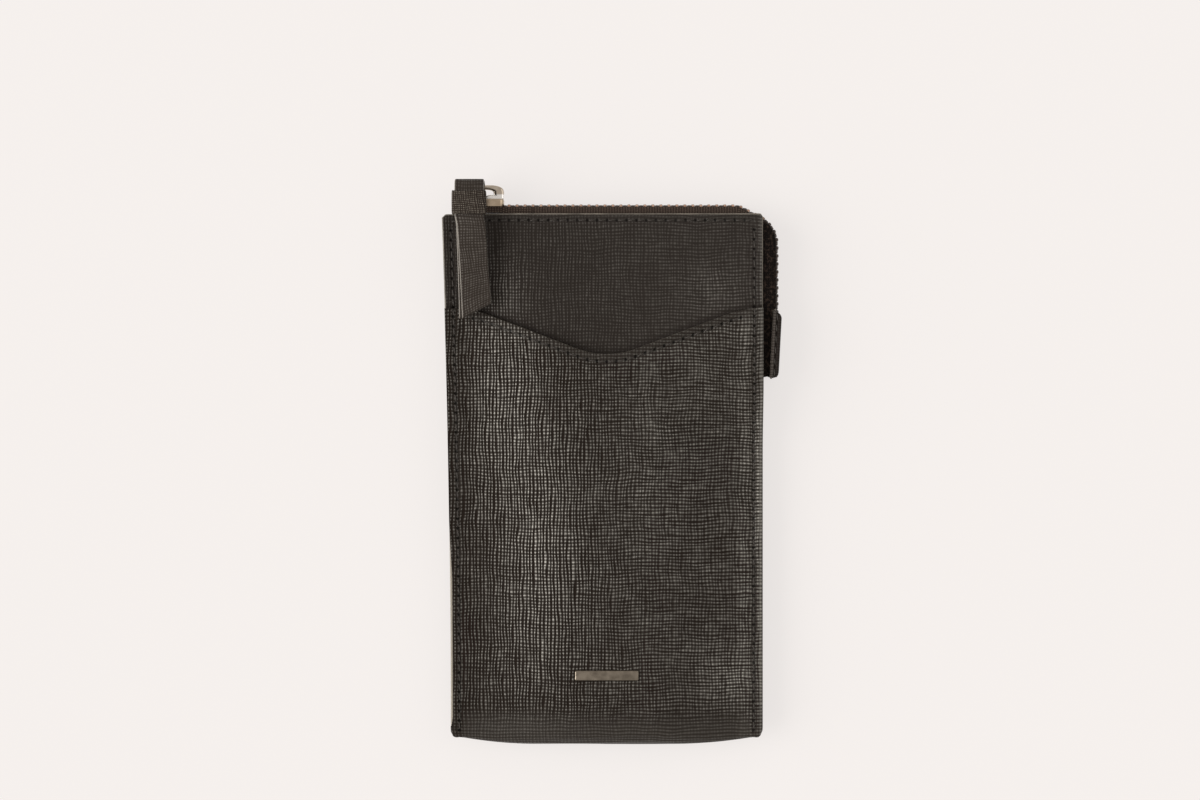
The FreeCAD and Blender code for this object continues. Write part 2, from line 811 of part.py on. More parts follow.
def add_end_tab():
    """Leather folded round the zip's lower end, with the fold outermost."""
    body = add_body("zipper_end_tab")
    low_end = "places.zip_end_y - sizes.tab_past_zip"
    sketch = add_sketch(body, "tab_section", "XZ_Plane", "-(%s)" % low_end)
    half = "(sizes.inner_gap / 2 + sizes.lining + sizes.tab_clearance)"
    root = "places.half_width + 2 * sizes.tab_clearance"
    wall = "places.chain_x + sizes.tooth_height / 2 + sizes.tab_clearance"
    fold = wall + " + sizes.tab_leather"
    front_in = "places.chain_z + " + half
    back_in = "places.chain_z - " + half
    draw_outline(sketch, [
        (root, front_in),
        (wall, front_in),
        (wall, back_in),
        (root, back_in),
        (root, back_in + " - sizes.tab_leather"),
        (fold, back_in + " - sizes.tab_leather"),
        (fold, front_in + " + sizes.tab_leather"),
        (root, front_in + " + sizes.tab_leather"),
    ])
    pad = add_pad(body, sketch, "sizes.tab_length", True)
    outside = place("chain_x") + size("tooth_height") / 2 + size("tab_clearance")
    add_fillet(
        body,
        pad,
        "sizes.tab_round",
        lambda edge: runs_along(edge, Y_AXIS) and edge.CenterOfMass.x > outside + size("tab_clearance"),
    )
    return body


def add_tab_stitching():
    """Stitches on the tab's front leaf, beside the fold."""
    low = place("zip_end_y") - size("tab_past_zip")
    x = place("chain_x") + size("tooth_height") / 2 - size("tab_stitch_inset")
    half = size("inner_gap") / 2 + size("lining") + size("tab_clearance")
    top = place("chain_z") + half + size("tab_leather")
    stitch_row(
        "end_tab_stitching",
        lambda along: Vector(x, low + along),
        size("tab_length"),
        lambda across, up: top,
    )


def add_slider_body():
    """Two plates with turned-in flanges, joined by the wedge at the left end."""
    body = add_body("slider_body")
    far = "places.chain_z + sizes.slider_width / 2"
    near = "places.chain_z - sizes.slider_width / 2"
    wall_far = "places.chain_z + places.channel_half"
    wall_near = "places.chain_z - places.channel_half"
    slot_top = "places.chain_y + places.slot_half"
    slot_low = "places.chain_y - places.slot_half"
    upper = add_sketch(body, "upper_section", "YZ_Plane", "places.slider_x")
    draw_outline(upper, [
        ("places.plate_out_y", near),
        ("places.plate_out_y", far),
        (slot_top, far),
        (slot_top, wall_far),
        ("places.plate_in_y", wall_far),
        ("places.plate_in_y", wall_near),
        (slot_top, wall_near),
        (slot_top, near),
    ])
    add_pad(body, upper, "sizes.slider_length")
    wedge = add_sketch(body, "wedge_plan", "YZ_Plane", "places.slider_x + sizes.wedge_inset")
    wedge_far = "places.chain_z + sizes.wedge_width / 2"
    wedge_near = "places.chain_z - sizes.wedge_width / 2"
    draw_rectangle(wedge, "places.base_out_y", wedge_near, "places.plate_out_y", wedge_far)
    add_pad(body, wedge, "sizes.wedge_length")
    lower = add_sketch(body, "lower_section", "YZ_Plane", "places.slider_x")
    draw_outline(lower, [
        ("places.base_out_y", near),
        ("places.base_out_y", far),
        (slot_low, far),
        (slot_low, wall_far),
        ("places.base_in_y", wall_far),
        ("places.base_in_y", wall_near),
        (slot_low, wall_near),
        (slot_low, near),
    ])
    pad = add_pad(body, lower, "sizes.slider_length")
    reach = size("slider_width") / 2 - size("channel_clearance")
    add_fillet(
        body,
        pad,
        "sizes.slider_corner",
        lambda edge: runs_along(edge, Y_AXIS)
        and abs(edge.CenterOfMass.z - place("chain_z")) > reach,
    )
    return body


def add_slider_bridge():
    """The arch on the slider that the strap loops through."""
    body = add_body("slider_bridge")
    sketch = add_sketch(body, "arch", "XY_Plane", "places.chain_z - sizes.bridge_width / 2")
    left = "places.slider_x"
    right = "places.slider_x + sizes.slider_length"
    eye = "places.bridge_y - sizes.bridge_bar"
    draw_outline(sketch, [
        (left, "places.plate_out_y"),
        (left, "places.bridge_y"),
        (right, "places.bridge_y"),
        (right, "places.plate_out_y"),
        (right + " - sizes.bridge_bar", "places.plate_out_y"),
        (right + " - sizes.bridge_bar", eye),
        (left + " + sizes.bridge_bar", eye),
        (left + " + sizes.bridge_bar", "places.plate_out_y"),
    ])
    pad = add_pad(body, sketch, "sizes.bridge_width")
    top = place("bridge_y") - size("bridge_bar") / 2
    add_fillet(
        body,
        pad,
        "sizes.bridge_corner",
        lambda edge: runs_along(edge, Z_AXIS) and edge.CenterOfMass.y > top,
    )
    return body


# Pull

def strap_path(offset):
    """Face of the folded strip at a depth inside the leather, from the lower leaf's end,
    over the bend, round the bridge bar and back along the upper leaf."""
    bend = Vector(0, place("bend_y"), place("bend_z"))
    bar = Vector(0, place("bar_y"), place("chain_z"))
    inner = size("strap_bend") + size("strap_leather") - offset
    loop = size("loop_radius") + offset
    outer = size("strap_bend") + size("strap_leather") + size("leaf_gap") + offset
    across = bar - bend
    lean = math.atan2(across.y, -across.z)
    turn = lean - math.acos(-(inner + loop) / across.Length)
    right = Vector(0, math.sin(turn), -math.cos(turn))
    leave = bend - right * inner
    join = bar + right * loop
    tail = place("tail_y")
    low_start = Vector(0, tail, bend.z + inner)
    low_end = Vector(0, bend.y, bend.z + inner)
    half_lean = (math.pi / 2 + math.atan2(leave.z - bend.z, leave.y - bend.y)) / 2
    low_mid = bend + Vector(0, math.cos(half_lean), math.sin(half_lean)) * inner
    bottom = bar - Z_AXIS * loop
    side = bar + Y_AXIS * loop
    rise_end = Vector(0, side.y, bend.z)
    top_mid = bend + Vector(0, 1, 1).normalize() * outer
    top_start = bend + Z_AXIS * outer
    top_end = Vector(0, tail, top_start.z)
    return [
        line(low_start, low_end),
        Part.Arc(low_end, low_mid, leave).toShape(),
        line(leave, join),
        Part.Arc(join, bottom, side).toShape(),
        line(side, rise_end),
        Part.Arc(rise_end, top_mid, top_start).toShape(),
        line(top_start, top_end),
    ]


def pull_placement():
    """The strap hangs a few degrees askew on the bar."""
    pivot = Vector(place("strap_right"), place("bar_y"), place("chain_z"))
    turn = FreeCAD.Rotation(Z_AXIS, STRAP_LEAN_DEGREES)
    return FreeCAD.Placement(Vector(), turn, pivot)


def add_pull_strap():
    """One strip folded round the bar and glued leaf to leaf: narrow where it passes the eye,
    cut at a slant."""
    inside = strap_path(0)
    outside = strap_path(size("strap_leather"))
    ends = [
        line(inside[0].Vertexes[0].Point, outside[0].Vertexes[0].Point),
        line(inside[-1].Vertexes[-1].Point, outside[-1].Vertexes[-1].Point),
    ]
    strip = Part.Face(Part.Wire(Part.__sortEdges__(inside + outside + ends)))
    glue_low = inside[:2]
    glue_high = inside[-2:]
    glue_ends = [
        line(glue_low[1].Vertexes[-1].Point, glue_high[0].Vertexes[0].Point),
        line(inside[0].Vertexes[0].Point, inside[-1].Vertexes[-1].Point),
    ]
    glue = Part.Face(Part.Wire(Part.__sortEdges__(glue_low + glue_high + glue_ends)))
    strip = strip.fuse(glue).removeSplitter().extrude(X_AXIS * size("strap_width"))
    strip.translate(X_AXIS * place("strap_left"))
    over = size("cut_overrun")
    neck_left = size("strap_width") - size("neck_width")
    deep = place("bend_z") + over - size("neck_drop")
    foot = Vector(place("strap_left") - over, place("bar_y") - over, -over)
    strip = strip.cut(Part.makeBox(neck_left + over, 2 * over, deep, foot))
    tail = place("tail_y")
    slant = [
        Vector(place("strap_left"), tail),
        Vector(place("strap_right"), tail + size("strap_slant")),
        Vector(place("strap_right"), tail - over),
        Vector(place("strap_left"), tail - over),
    ]
    edges = chain_edges(slant + slant[:1])
    strip = strip.cut(prism(edges, place("bend_z"), place("leaf_top_z") + over))
    strap = add_shape("pull_strap", strip.removeSplitter())
    strap.Placement = pull_placement()
    return strap


def add_pull_keeper():
    """Leather band round both leaves, just below the bend."""
    body = add_body("pull_keeper")
    sketch = add_sketch(body, "band_section", "XZ_Plane", "-places.bend_y")
    gap = "sizes.keeper_clearance"
    wall = "(sizes.keeper_clearance + sizes.keeper_leather)"
    draw_rectangle(
        sketch,
        "places.strap_left - " + wall,
        "places.leaf_low_z - " + wall,
        "places.strap_right + " + wall,
        "places.leaf_top_z + " + wall,
    )
    draw_rectangle(
        sketch,
        "places.strap_left - " + gap,
        "places.leaf_low_z - " + gap,
        "places.strap_right + " + gap,
        "places.leaf_top_z + " + gap,
    )
    add_pad(body, sketch, "sizes.keeper_length")
    body.Placement = pull_placement()
    return body


# Badge

def add_badge_bar():
    """Plain metal bar on the pocket with two prongs behind it."""
    body = add_body("badge_bar")
    sketch = add_sketch(body, "bar_outline", "XY_Plane", "places.front_z")
    draw_rectangle(
        sketch,
        "-sizes.badge_length / 2",
        "places.badge_y - sizes.badge_height / 2",
        "sizes.badge_length / 2",
        "places.badge_y + sizes.badge_height / 2",
    )
    bar = add_pad(body, sketch, "sizes.badge_thickness")
    top = place("front_z") + size("badge_thickness") / 2
    rounded = add_fillet(
        body, bar, "sizes.badge_round", lambda edge: edge.CenterOfMass.z > top
    )
    prongs = add_sketch(body, "prong_circles", "XY_Plane", "places.front_z")
    for sign in ("-", ""):
        draw_circle(
            prongs, sign + "sizes.prong_spacing / 2", "places.badge_y", "sizes.prong_diameter / 2"
        )
    body.Tip = rounded
    add_pad(body, prongs, "sizes.leather + sizes.pocket_gap / 2 + sizes.backplate_thickness / 2", True)
    return body


def add_badge_backplate():
    """Thin washer inside the pocket that the prongs pass through."""
    body = add_body("badge_backplate")
    low = "places.pocket_in_z - sizes.layer_gap - sizes.backplate_thickness"
    sketch = add_sketch(body, "plate_outline", "XY_Plane", low)
    half = "(sizes.badge_height / 2 - sizes.backplate_margin)"
    length = "(sizes.badge_length / 2 - sizes.backplate_margin)"
    draw_rectangle(
        sketch, "-" + length, "places.badge_y - " + half, length, "places.badge_y + " + half
    )
    for sign in ("-", ""):
        draw_circle(
            sketch,
            sign + "sizes.prong_spacing / 2",
            "places.badge_y",
            "sizes.prong_diameter / 2 + sizes.prong_clearance",
        )
    add_pad(body, sketch, "sizes.backplate_thickness")
    return body


def check_and_write():
    """Stop on any failed object, then write each sub-part to its own file."""
    document.recompute()
    nodes = []
    for item in document.Objects:
        if "Invalid" in item.State or "Error" in item.State:
            raise RuntimeError("%s failed: %s" % (item.Label, item.State))
        if item.TypeId in ("PartDesign::Body", "Part::Feature"):
            nodes.append(item)
    for item in nodes:
        if item.Shape.isNull() or not item.Shape.isValid():
            raise RuntimeError("%s has no valid shape" % item.Label)
    os.makedirs("parts", exist_ok=True)
    for item in nodes:
        item.Shape.exportStep("parts/%s.step" % item.Label)
        print(item.Label, len(item.Shape.Solids), round(item.Shape.Volume, 1))


add_outer_wrap()
add_front_panel()
add_lining_bag()
add_stitching()
add_teeth("zipper_teeth_front", 1, 0.5)
add_teeth("zipper_teeth_back", -1, 1)
add_tape("zipper_tape_front", 1)
add_tape("zipper_tape_back", -1)
add_top_stop("zipper_top_stop_front", 1)
add_top_stop("zipper_top_stop_back", -1)
add_bottom_stop()
add_end_tab()
add_tab_stitching()
add_slider_body()
add_slider_bridge()
add_pull_strap()
add_pull_keeper()
add_badge_bar()
add_badge_backplate()
check_and_write()
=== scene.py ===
import math

import bpy
import numpy as np
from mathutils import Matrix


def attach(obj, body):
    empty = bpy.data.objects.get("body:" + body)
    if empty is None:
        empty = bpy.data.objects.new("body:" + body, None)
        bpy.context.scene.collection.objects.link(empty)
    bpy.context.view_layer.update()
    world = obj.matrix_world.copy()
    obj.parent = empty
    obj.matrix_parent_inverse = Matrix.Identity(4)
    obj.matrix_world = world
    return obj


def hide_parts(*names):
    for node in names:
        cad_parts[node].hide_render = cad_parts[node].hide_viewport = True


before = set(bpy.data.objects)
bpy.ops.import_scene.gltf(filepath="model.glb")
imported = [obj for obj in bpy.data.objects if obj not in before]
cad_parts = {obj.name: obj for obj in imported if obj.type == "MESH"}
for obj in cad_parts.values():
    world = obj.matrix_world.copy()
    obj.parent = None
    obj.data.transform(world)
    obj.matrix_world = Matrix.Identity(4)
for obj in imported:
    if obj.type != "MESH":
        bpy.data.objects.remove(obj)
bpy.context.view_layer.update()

MM = 0.001

# Pouch: sizes in millimetres, as in the part's own table
HALF_WIDTH = 52.6
TOP_Y = 89.0
LEFT_FLARE = 3.1
SIDE_LAND = 4.4
RISE_WIDTH = 24.0
BELL_WIDTH = 36.0
SETTLED_Y = 12.0
SETTLING_RUN = 60.0
INNER_GAP = 9.4
POCKET_GAP = 0.6
LEATHER = 1.2
LINING = 0.4
LINING_INSET = 0.6
LAYER_GAP = 0.05
FOLD_BULGE = 2.0
FOLD_DROP = 0.8
CORNER_ROUND = 2.0
TOP_ROUND = 1.2
MOUTH_LOW_Y = 9.0
MOUTH_HIGH_Y = 33.0
POCKET_MIDDLE_Y = 41.6
POCKET_DIP = 15.6
POCKET_FOOT_SHARE = 0.2
POCKET_ARM_SHARE = 0.76
LAND_X = HALF_WIDTH - SIDE_LAND
PLATEAU_X = LAND_X - RISE_WIDTH

# Soft form of the leather
CROWN = 0.25
WAVE = 0.1
LIP = 0.8
LIP_RUN = 7.0
SEAM_DIP = 0.28
SEAM_HALF = 0.75
EDGE_ROLL = 1.7
EDGE_DROP = 0.5
EDGE_STRIP = 0.7
# Painted highlight along the right edge: its inset and half width
EDGE_HIGHLIGHT_INSET = 0.9
EDGE_HIGHLIGHT_HALF = 0.45
FOLD_RIDGE = 0.13
FOLD_RIDGES = 13
FOLD_DRAW_IN = 0.1
LEFT_SETBACK = 1.0
SETBACK_TOP_Y = -12.0
SETBACK_LOW_Y = -86.0
EASED_EDGE = 0.5
HEM_ROWS = 20
FRONT_ROWS = 151

# Patches of painted highlight on the grain, mostly on the left where the side light falls: brightness,
# middle across and up, and half widths across and up
PAINTED_LIGHT_HIGH = (1.0, -33.0, 22.0, 13.0, 42.0)
PAINTED_LIGHT_LOW = (1.0, -22.0, -24.0, 15.0, 46.0)
PAINTED_LIGHT_FAINT = (0.15, 17.0, 5.0, 14.0, 26.0)
PAINTED_LIGHT_CORNER = (0.6, 40.0, -66.0, 8.0, 9.0)
PAINTED_LIGHT_PANEL_LEFT = (1.3, -36.0, 62.0, 8.0, 9.0)
PAINTED_LIGHT_PANEL_RIGHT = (0.6, 37.0, 62.0, 9.0, 8.0)

# Sewing
STITCH_PITCH = 3.2
STITCH_LENGTH = 2.5
THREAD_RADIUS = 0.24
THREAD_SIDES = 6
THREAD_SLANT = 0.12
THREAD_TILT = 0.02
SIDE_STITCH_INSET = 3.0
TOP_STITCH_INSET = 2.3
POCKET_STITCH_INSET = 2.5
TOP_ROW_REACH = 1.4
TOP_ROW_FADE = 0.6
POCKET_ROW_FADE = 1.2

# Zip
CHAIN_Z = LEATHER + LAYER_GAP + LINING + INNER_GAP / 2
CHAIN_Y = TOP_Y + 2.1
CHAIN_X = HALF_WIDTH + 4.2
CHAIN_RADIUS = 12.0
ZIP_SAG = 1.8
SAG_START_X = 43.6
SAG_RUN = 6.0
ZIP_END_Y = 34.5
SEAM_IN = 4.8
SEAM_IN_Y = 34.9
SEAM_IN_RUN = 1.2
CLOSE_X = 40.0
CLOSE_Y = 38.0
TEETH_START_X = -43.8
TEETH_UNDER_TAB = 4.0
TOOTH_PITCH = 2.7
BACK_ROW_STAND = 0.35
TRIM_X = -24.2
TAPE = 0.5
TAPE_BEND = 1.2
TAPE_DEPTH = 10.0
TAPE_EDGE = 2.62
TAPE_START_X = -51.7
TAPE_TUCK_X = -50.3
TAPE_TUCK = 3.4
TAPE_PINCH_SHARE = 0.88
TAPE_DRAW_IN = 0.3
TAPE_DRAW_RUN = 8.0
TAPE_LEAST = 0.03
TRIMMED_DEPTH = 2.3
TRIMMED_LESS = 0.5
TRIMMED_LESS_X = -33.0
GUSSET_Y = 40.0
GUSSET_LOW_Y = 14.0
GUSSET_DEPTH = 2.2
GUSSET_SLOPE = 0.3

# Tab over the zip's end
TAB_LOW_Y = 33.7
TAB_LENGTH = 22.3
TAB_LEATHER = 1.1
TAB_CLEARANCE = 0.15
TOOTH_HALF = 0.9
TAB_HALF = INNER_GAP / 2 + LINING + TAB_CLEARANCE
TAB_TOP_Z = CHAIN_Z + TAB_HALF + TAB_LEATHER
TAB_FOLD_X = CHAIN_X + TOOTH_HALF + TAB_CLEARANCE + TAB_LEATHER
TAB_LEAN = 1.2
TAB_ROOT_X = 55.9
TAB_BEND = 1.2
TAB_SEAM_X = 57.4
TAB_GROOVE = 0.5
TAB_GROOVE_HALF = 0.4
TAB_CORNER_RISE = 2.4
TAB_CORNER_DEPTH = 1.6
TAB_TOP_SLANT = 0.4
TAB_FOOT_SLANT = 0.3

# Slider
SLIDER_LEFT = -47.7
SLIDER_RIGHT = -34.7
PLATE_TOP_Y = 93.7
PLATE_OVERLAP = 0.3
BRIDGE_Y = 98.9
BRIDGE_BAR = 2.0
BRIDGE_LEG = 3.5
BRIDGE_WIDTH = 2.4
BRIDGE_BLUNT = 0.6
ARCH_FOOT_Y = 95.7
ARCH_WINDOW = 1.6
ARCH_SILL = 0.15
ARCH_BLUNT = 0.62
FOOT_BLUNT = 0.25
NECK_PASSAGE_X = -40.2
PASSAGE_EDGE = 0.6
PASSAGE_FLOOR = 0.2

# Pull strap and keeper
BAR_Y = 97.3
STRAP_LEFT = -50.9
STRAP_WIDTH = 9.7
STRAP_LEATHER = 1.2
STRAP_BEND = 1.7
STRAP_SIDES = 28
LEAF_GAP = 0.1
LOOP_RADIUS = 1.9
LOOP_TILT = 0.0524
NECK_WIDTH = 4.2
NECK_START_Z = 12.9
NECK_RUN = 2.0
LEAF_LOW_Z = 15.95
LEAF_TOP_Z = LEAF_LOW_Z + 2 * STRAP_LEATHER + LEAF_GAP
BEND_Z = LEAF_LOW_Z - STRAP_BEND
BEND_Y = 96.2
TAIL_Y = BAR_Y - 43.8
STRAP_SLANT = 5.0
STRAP_HELD_Y = 88.4
STRAP_DROOP = 2.4
STRAP_ASIDE = 0.45
STRAP_ASIDE_RUN = 4.0
TAIL_LEFT = 1.0
TAIL_LEFT_UPPER = 1.05
TAIL_RIGHT = 1.5
TAIL_RIGHT_UPPER = 2.1
TAIL_PARTING = 0.25
KEEPER_LEATHER = 0.9
KEEPER_CLEARANCE = 0.05
KEEPER_LENGTH = 7.8
KEEPER_RAGGED = 0.12

# Studio
FLOOR_HALF = 1500.0
FLOOR_Z = -0.15
CAMERA_PLACE = (-0.00227, 0.02628, 0.964)


# Curves

def smooth(share):
    """Cubic step: 3 s squared less 2 s cubed, held between nought and one."""
    held = np.clip(share, 0, 1)
    return held * held * (3 - 2 * held)


def bell(value, middle, half):
    """Bell curve: e to the minus square of the distance from the middle in half widths."""
    return np.exp(-((value - middle) / half) ** 2)


def blunt(wave, power):
    """A sine or cosine raised to a power with its sign kept, as in a superellipse."""
    return np.sign(wave) * np.abs(wave) ** power


def full_turn(count):
    """Angles of a full turn in equal steps."""
    return np.linspace(0, 2 * np.pi, count, endpoint=False)


def running(x, y):
    """Distance run along a line, from its first point."""
    return np.concatenate([[0], np.cumsum(np.hypot(np.diff(x), np.diff(y)))])


def along(points):
    """Distance run down each column of a grid, from its first row."""
    steps = np.linalg.norm(np.diff(points, axis=0), axis=2)
    return np.concatenate([np.zeros((1, points.shape[1])), np.cumsum(steps, axis=0)])


def stacked(*coordinates):
    """Points of a grid from their coordinates, each stretched to the grid's size."""
    return np.stack(np.broadcast_arrays(*coordinates), axis=2)


def arc(centre, radius, angles):
    """Points of an arc round a centre at the given angles."""
    return centre + radius * np.stack([np.cos(angles), np.sin(angles)], axis=1)


# Mesh helpers

def put_mesh(name, points, faces, cut):
    """Object at the origin from points in millimetres, face corners and corner cut places."""
    mesh = bpy.data.meshes.new(name)
    mesh.from_pydata((points.reshape(-1, 3) * MM).tolist(), [], faces)
    layer = mesh.uv_layers.new(name="cut")
    layer.data.foreach_set("uv", np.asarray(cut, dtype=np.float32).ravel())
    mesh.polygons.foreach_set("use_smooth", np.ones(len(mesh.polygons), dtype=bool))
    mesh.update()
    piece = bpy.data.objects.new(name, mesh)
    bpy.context.scene.collection.objects.link(piece)
    return piece


def surface(name, points, cut, ring=False, loop=False, capped=False):
    """Grid of points as a skin: each face joins four neighbours. With ring the columns meet,
    with loop the rows meet, and capped closes the first and last rows. The cut places are
    flat coordinates in millimetres, with one column or row more where the grid meets itself."""
    rows, columns = points.shape[:2]
    i, j = np.meshgrid(
        np.arange(rows if loop else rows - 1),
        np.arange(columns if ring else columns - 1),
        indexing="ij",
    )
    near, left = i.ravel(), j.ravel()
    far, right = near + 1, left + 1
    down, across = far % rows, right % columns
    faces = np.stack([
        near * columns + left,
        down * columns + left,
        down * columns + across,
        near * columns + across,
    ], axis=1).tolist()
    flat = np.stack([cut[near, left], cut[far, left], cut[far, right], cut[near, right]], axis=1)
    flat = flat.reshape(-1, 2)
    if capped:
        first = np.arange(columns)
        last = (rows - 1) * columns + first[::-1]
        faces += [first.tolist(), last.tolist()]
        flat = np.concatenate([flat, cut[0, :columns], cut[-1, :columns][::-1]])
    return put_mesh(name, points, faces, flat)


def stack_faces(rings, sides):
    """Faces of a stack of rings of points: a wall between each two rings, and both ends closed."""
    ring, corner = np.meshgrid(np.arange(rings - 1), np.arange(sides), indexing="ij")
    low, after = ring * sides, (corner + 1) % sides
    walls = np.stack([low + corner, low + after, low + sides + after, low + sides + corner], axis=2)
    first = np.arange(sides)
    return [*walls.reshape(-1, 4), first[::-1], first + (rings - 1) * sides]


def repeated(name, shape, faces, turns, places):
    """Many copies of one small shape: each is turned by its own axes and then placed."""
    points = np.einsum("nij,vj->nvi", turns, shape) + places[:, None, :]
    count, corners = points.shape[:2]
    every = [(face + corners * copy).tolist() for copy in range(count) for face in faces]
    loops = sum(len(face) for face in faces)
    cut = np.tile(np.linspace(0, 1, loops)[:, None], (count, 2))
    return put_mesh(name, points, every, cut)


def paint_columns(piece, chosen, slot):
    """Gives the faces of the chosen columns of a ringed grid another material slot."""
    index = np.zeros(len(piece.data.polygons), dtype=np.int32)
    rows = len(piece.data.polygons) // chosen.size
    index[:rows * chosen.size] = np.tile(np.where(chosen, slot, 0), rows)
    piece.data.polygons.foreach_set("material_index", index)


def add_wear(piece, **wear):
    """Numbers for each point of the mesh that the leather's material reads."""
    for name, values in wear.items():
        layer = piece.data.attributes.new(name, "FLOAT", "POINT")
        layer.data.foreach_set("value", np.asarray(values, dtype=np.float32).ravel())


def ease_edges(piece, width, angle):
    """Rounds the edges that turn by more than an angle in degrees."""
    ease = piece.modifiers.new("eased_edges", "BEVEL")
    ease.width = width * MM
    ease.segments = 3
    ease.limit_method = "ANGLE"
    ease.angle_limit = math.radians(angle)
    return ease


def thicken(piece, thickness, edge_slot=None):
    """Thickness inwards from the modelled face. Leather has its cut edges eased and painted."""
    wall = piece.modifiers.new("thickness", "SOLIDIFY")
    wall.thickness = thickness * MM
    wall.offset = -1
    if edge_slot is not None:
        wall.material_offset_rim = edge_slot
        ease_edges(piece, EASED_EDGE, 50).material = edge_slot


def finish(piece, *materials):
    """Puts the materials into the piece's slots in order."""
    piece.data.materials.clear()
    for made in materials:
        piece.data.materials.append(made)


def ease_node(name, width, metal):
    """A carried-over solid: its triangles joined, its edges eased, and its finish set."""
    node = bpy.data.objects[name]
    joined = node.modifiers.new("joined", "WELD")
    joined.merge_threshold = 0.01 * MM
    ease_edges(node, width, 30).harden_normals = True
    finish(node, metal)


# Form of the pouch

def held_rise(x):
    """The sides where they are held up: a parabola from the sewn land to the middle."""
    return 1 - (1 - np.clip((LAND_X - np.abs(x)) / RISE_WIDTH, 0, 1)) ** 2


def mouth(y):
    """How far the right side is open: nought in the sewn part, one beside the zip."""
    return smooth((y - MOUTH_LOW_Y) / (MOUTH_HIGH_Y - MOUTH_LOW_Y))


def fullness(x, y):
    """How far the layers stand apart: nought on the sewn lands, one over the middle. Near the
    top the zip holds the sides up in a parabola, and lower down they settle into a slow bell.
    The right side opens fully above the zip's end."""
    settled = smooth((LAND_X - np.abs(x)) / BELL_WIDTH)
    rise = settled + (held_rise(x) - settled) * smooth((y - SETTLED_Y) / SETTLING_RUN)
    return np.where(x > 0, 1 - (1 - rise) * (1 - mouth(y)), rise)


def inner_gap(full):
    """Room between the two linings at a fullness."""
    return LAYER_GAP + (INNER_GAP - LAYER_GAP) * full


def levels(full):
    """Heights of the back's outside, the panel's outside and the pocket's outside."""
    pocket = LAYER_GAP + (POCKET_GAP - LAYER_GAP) * full
    reach = inner_gap(full) / 2 + LINING + LAYER_GAP + LEATHER
    panel = CHAIN_Z + reach
    return CHAIN_Z - reach, panel, panel + pocket + LEATHER


def left_edge(y):
    """The left edge leans out by the square of the height above the fold."""
    return -HALF_WIDTH - LEFT_FLARE * ((y + TOP_Y) / (2 * TOP_Y)) ** 2


def pocket_edge(x):
    """The pocket's shallow vee: a round foot, straight arms and level ends, in one slope."""
    inner = POCKET_FOOT_SHARE * HALF_WIDTH
    outer = POCKET_ARM_SHARE * HALF_WIDTH
    slope = POCKET_DIP / (inner / 2 + outer - inner + (HALF_WIDTH - outer) / 2)
    off = np.minimum(np.abs(x), HALF_WIDTH)
    foot = np.minimum(off, inner) ** 2 / (2 * inner)
    arm = np.clip(off - inner, 0, outer - inner)
    end = np.clip(off - outer, 0, HALF_WIDTH - outer)
    end = end - end ** 2 / (2 * (HALF_WIDTH - outer))
    return POCKET_MIDDLE_Y + slope * (foot + arm + end)


def fold_start(x):
    """Height on the page where the wrap starts to turn under, so that the fold bulges in the
    middle and its two corners are rounded."""
    back, _, front = levels(fullness(-np.abs(x), np.full_like(x, -TOP_Y)))
    over = np.clip(np.abs(x) - (HALF_WIDTH - CORNER_ROUND), 0, CORNER_ROUND)
    corner = CORNER_ROUND - np.sqrt(CORNER_ROUND ** 2 - over ** 2)
    return -TOP_Y - FOLD_DROP + FOLD_BULGE * (1 - held_rise(x)) + corner + (front - back) / 2


def top_edge(x):
    """Top edge of the leather, with its two corners rounded."""
    over = np.clip(np.abs(x) - (HALF_WIDTH - TOP_ROUND), 0, TOP_ROUND)
    return TOP_Y - TOP_ROUND + np.sqrt(TOP_ROUND ** 2 - over ** 2)


def column_places():
    """Places across the pouch, close together on the lands and the slopes, as one row."""
    half = np.concatenate([
        np.linspace(0, PLATEAU_X, 36)[:-1],
        np.linspace(PLATEAU_X, LAND_X, 22)[:-1],
        np.linspace(LAND_X, HALF_WIDTH - EDGE_STRIP, 13),
        [HALF_WIDTH],
    ])
    return np.concatenate([-half[:0:-1], half])[None, :]


def flared(x, y):
    """Stretches the left land out to the leaning left edge."""
    share = (x + LAND_X) / (LAND_X - HALF_WIDTH)
    return np.where(x < -LAND_X, -LAND_X + share * (left_edge(y) + LAND_X), x)


def middle_share(x):
    """One along the middle, falling as a parabola to nought on the sewn lands."""
    return np.clip(1 - (x / LAND_X) ** 2, 0, 1)


def row_line(x, pocket):
    """Height of the sewing row along the pocket's edge or along the panel's top."""
    return pocket_edge(x) - POCKET_STITCH_INSET if pocket else TOP_Y - TOP_STITCH_INSET


def seam_mask(x, y, pocket):
    """One on the sewing lines and falling off as a bell curve to either side of them."""
    left = bell(x, left_edge(y) + SIDE_STITCH_INSET, SEAM_HALF)
    right = bell(x, HALF_WIDTH - SIDE_STITCH_INSET, SEAM_HALF)
    side = np.maximum(left, right)
    row = bell(y, row_line(x, pocket), SEAM_HALF)
    if pocket:
        row = row * smooth((LAND_X - POCKET_ROW_FADE - np.abs(x)) / POCKET_ROW_FADE)
    else:
        row = row * smooth((LAND_X + TOP_ROW_REACH - np.abs(x)) / TOP_ROW_FADE)
        side = side * smooth((row_line(x, pocket) - TOP_ROW_REACH - y) / TOP_ROW_FADE)
    return np.maximum(side, row)


def seam_row(start, end):
    """Start, even pitch and count of the stitches that fill a row."""
    count = int((end - start) / STITCH_PITCH)
    return start, (end - start) / count, count


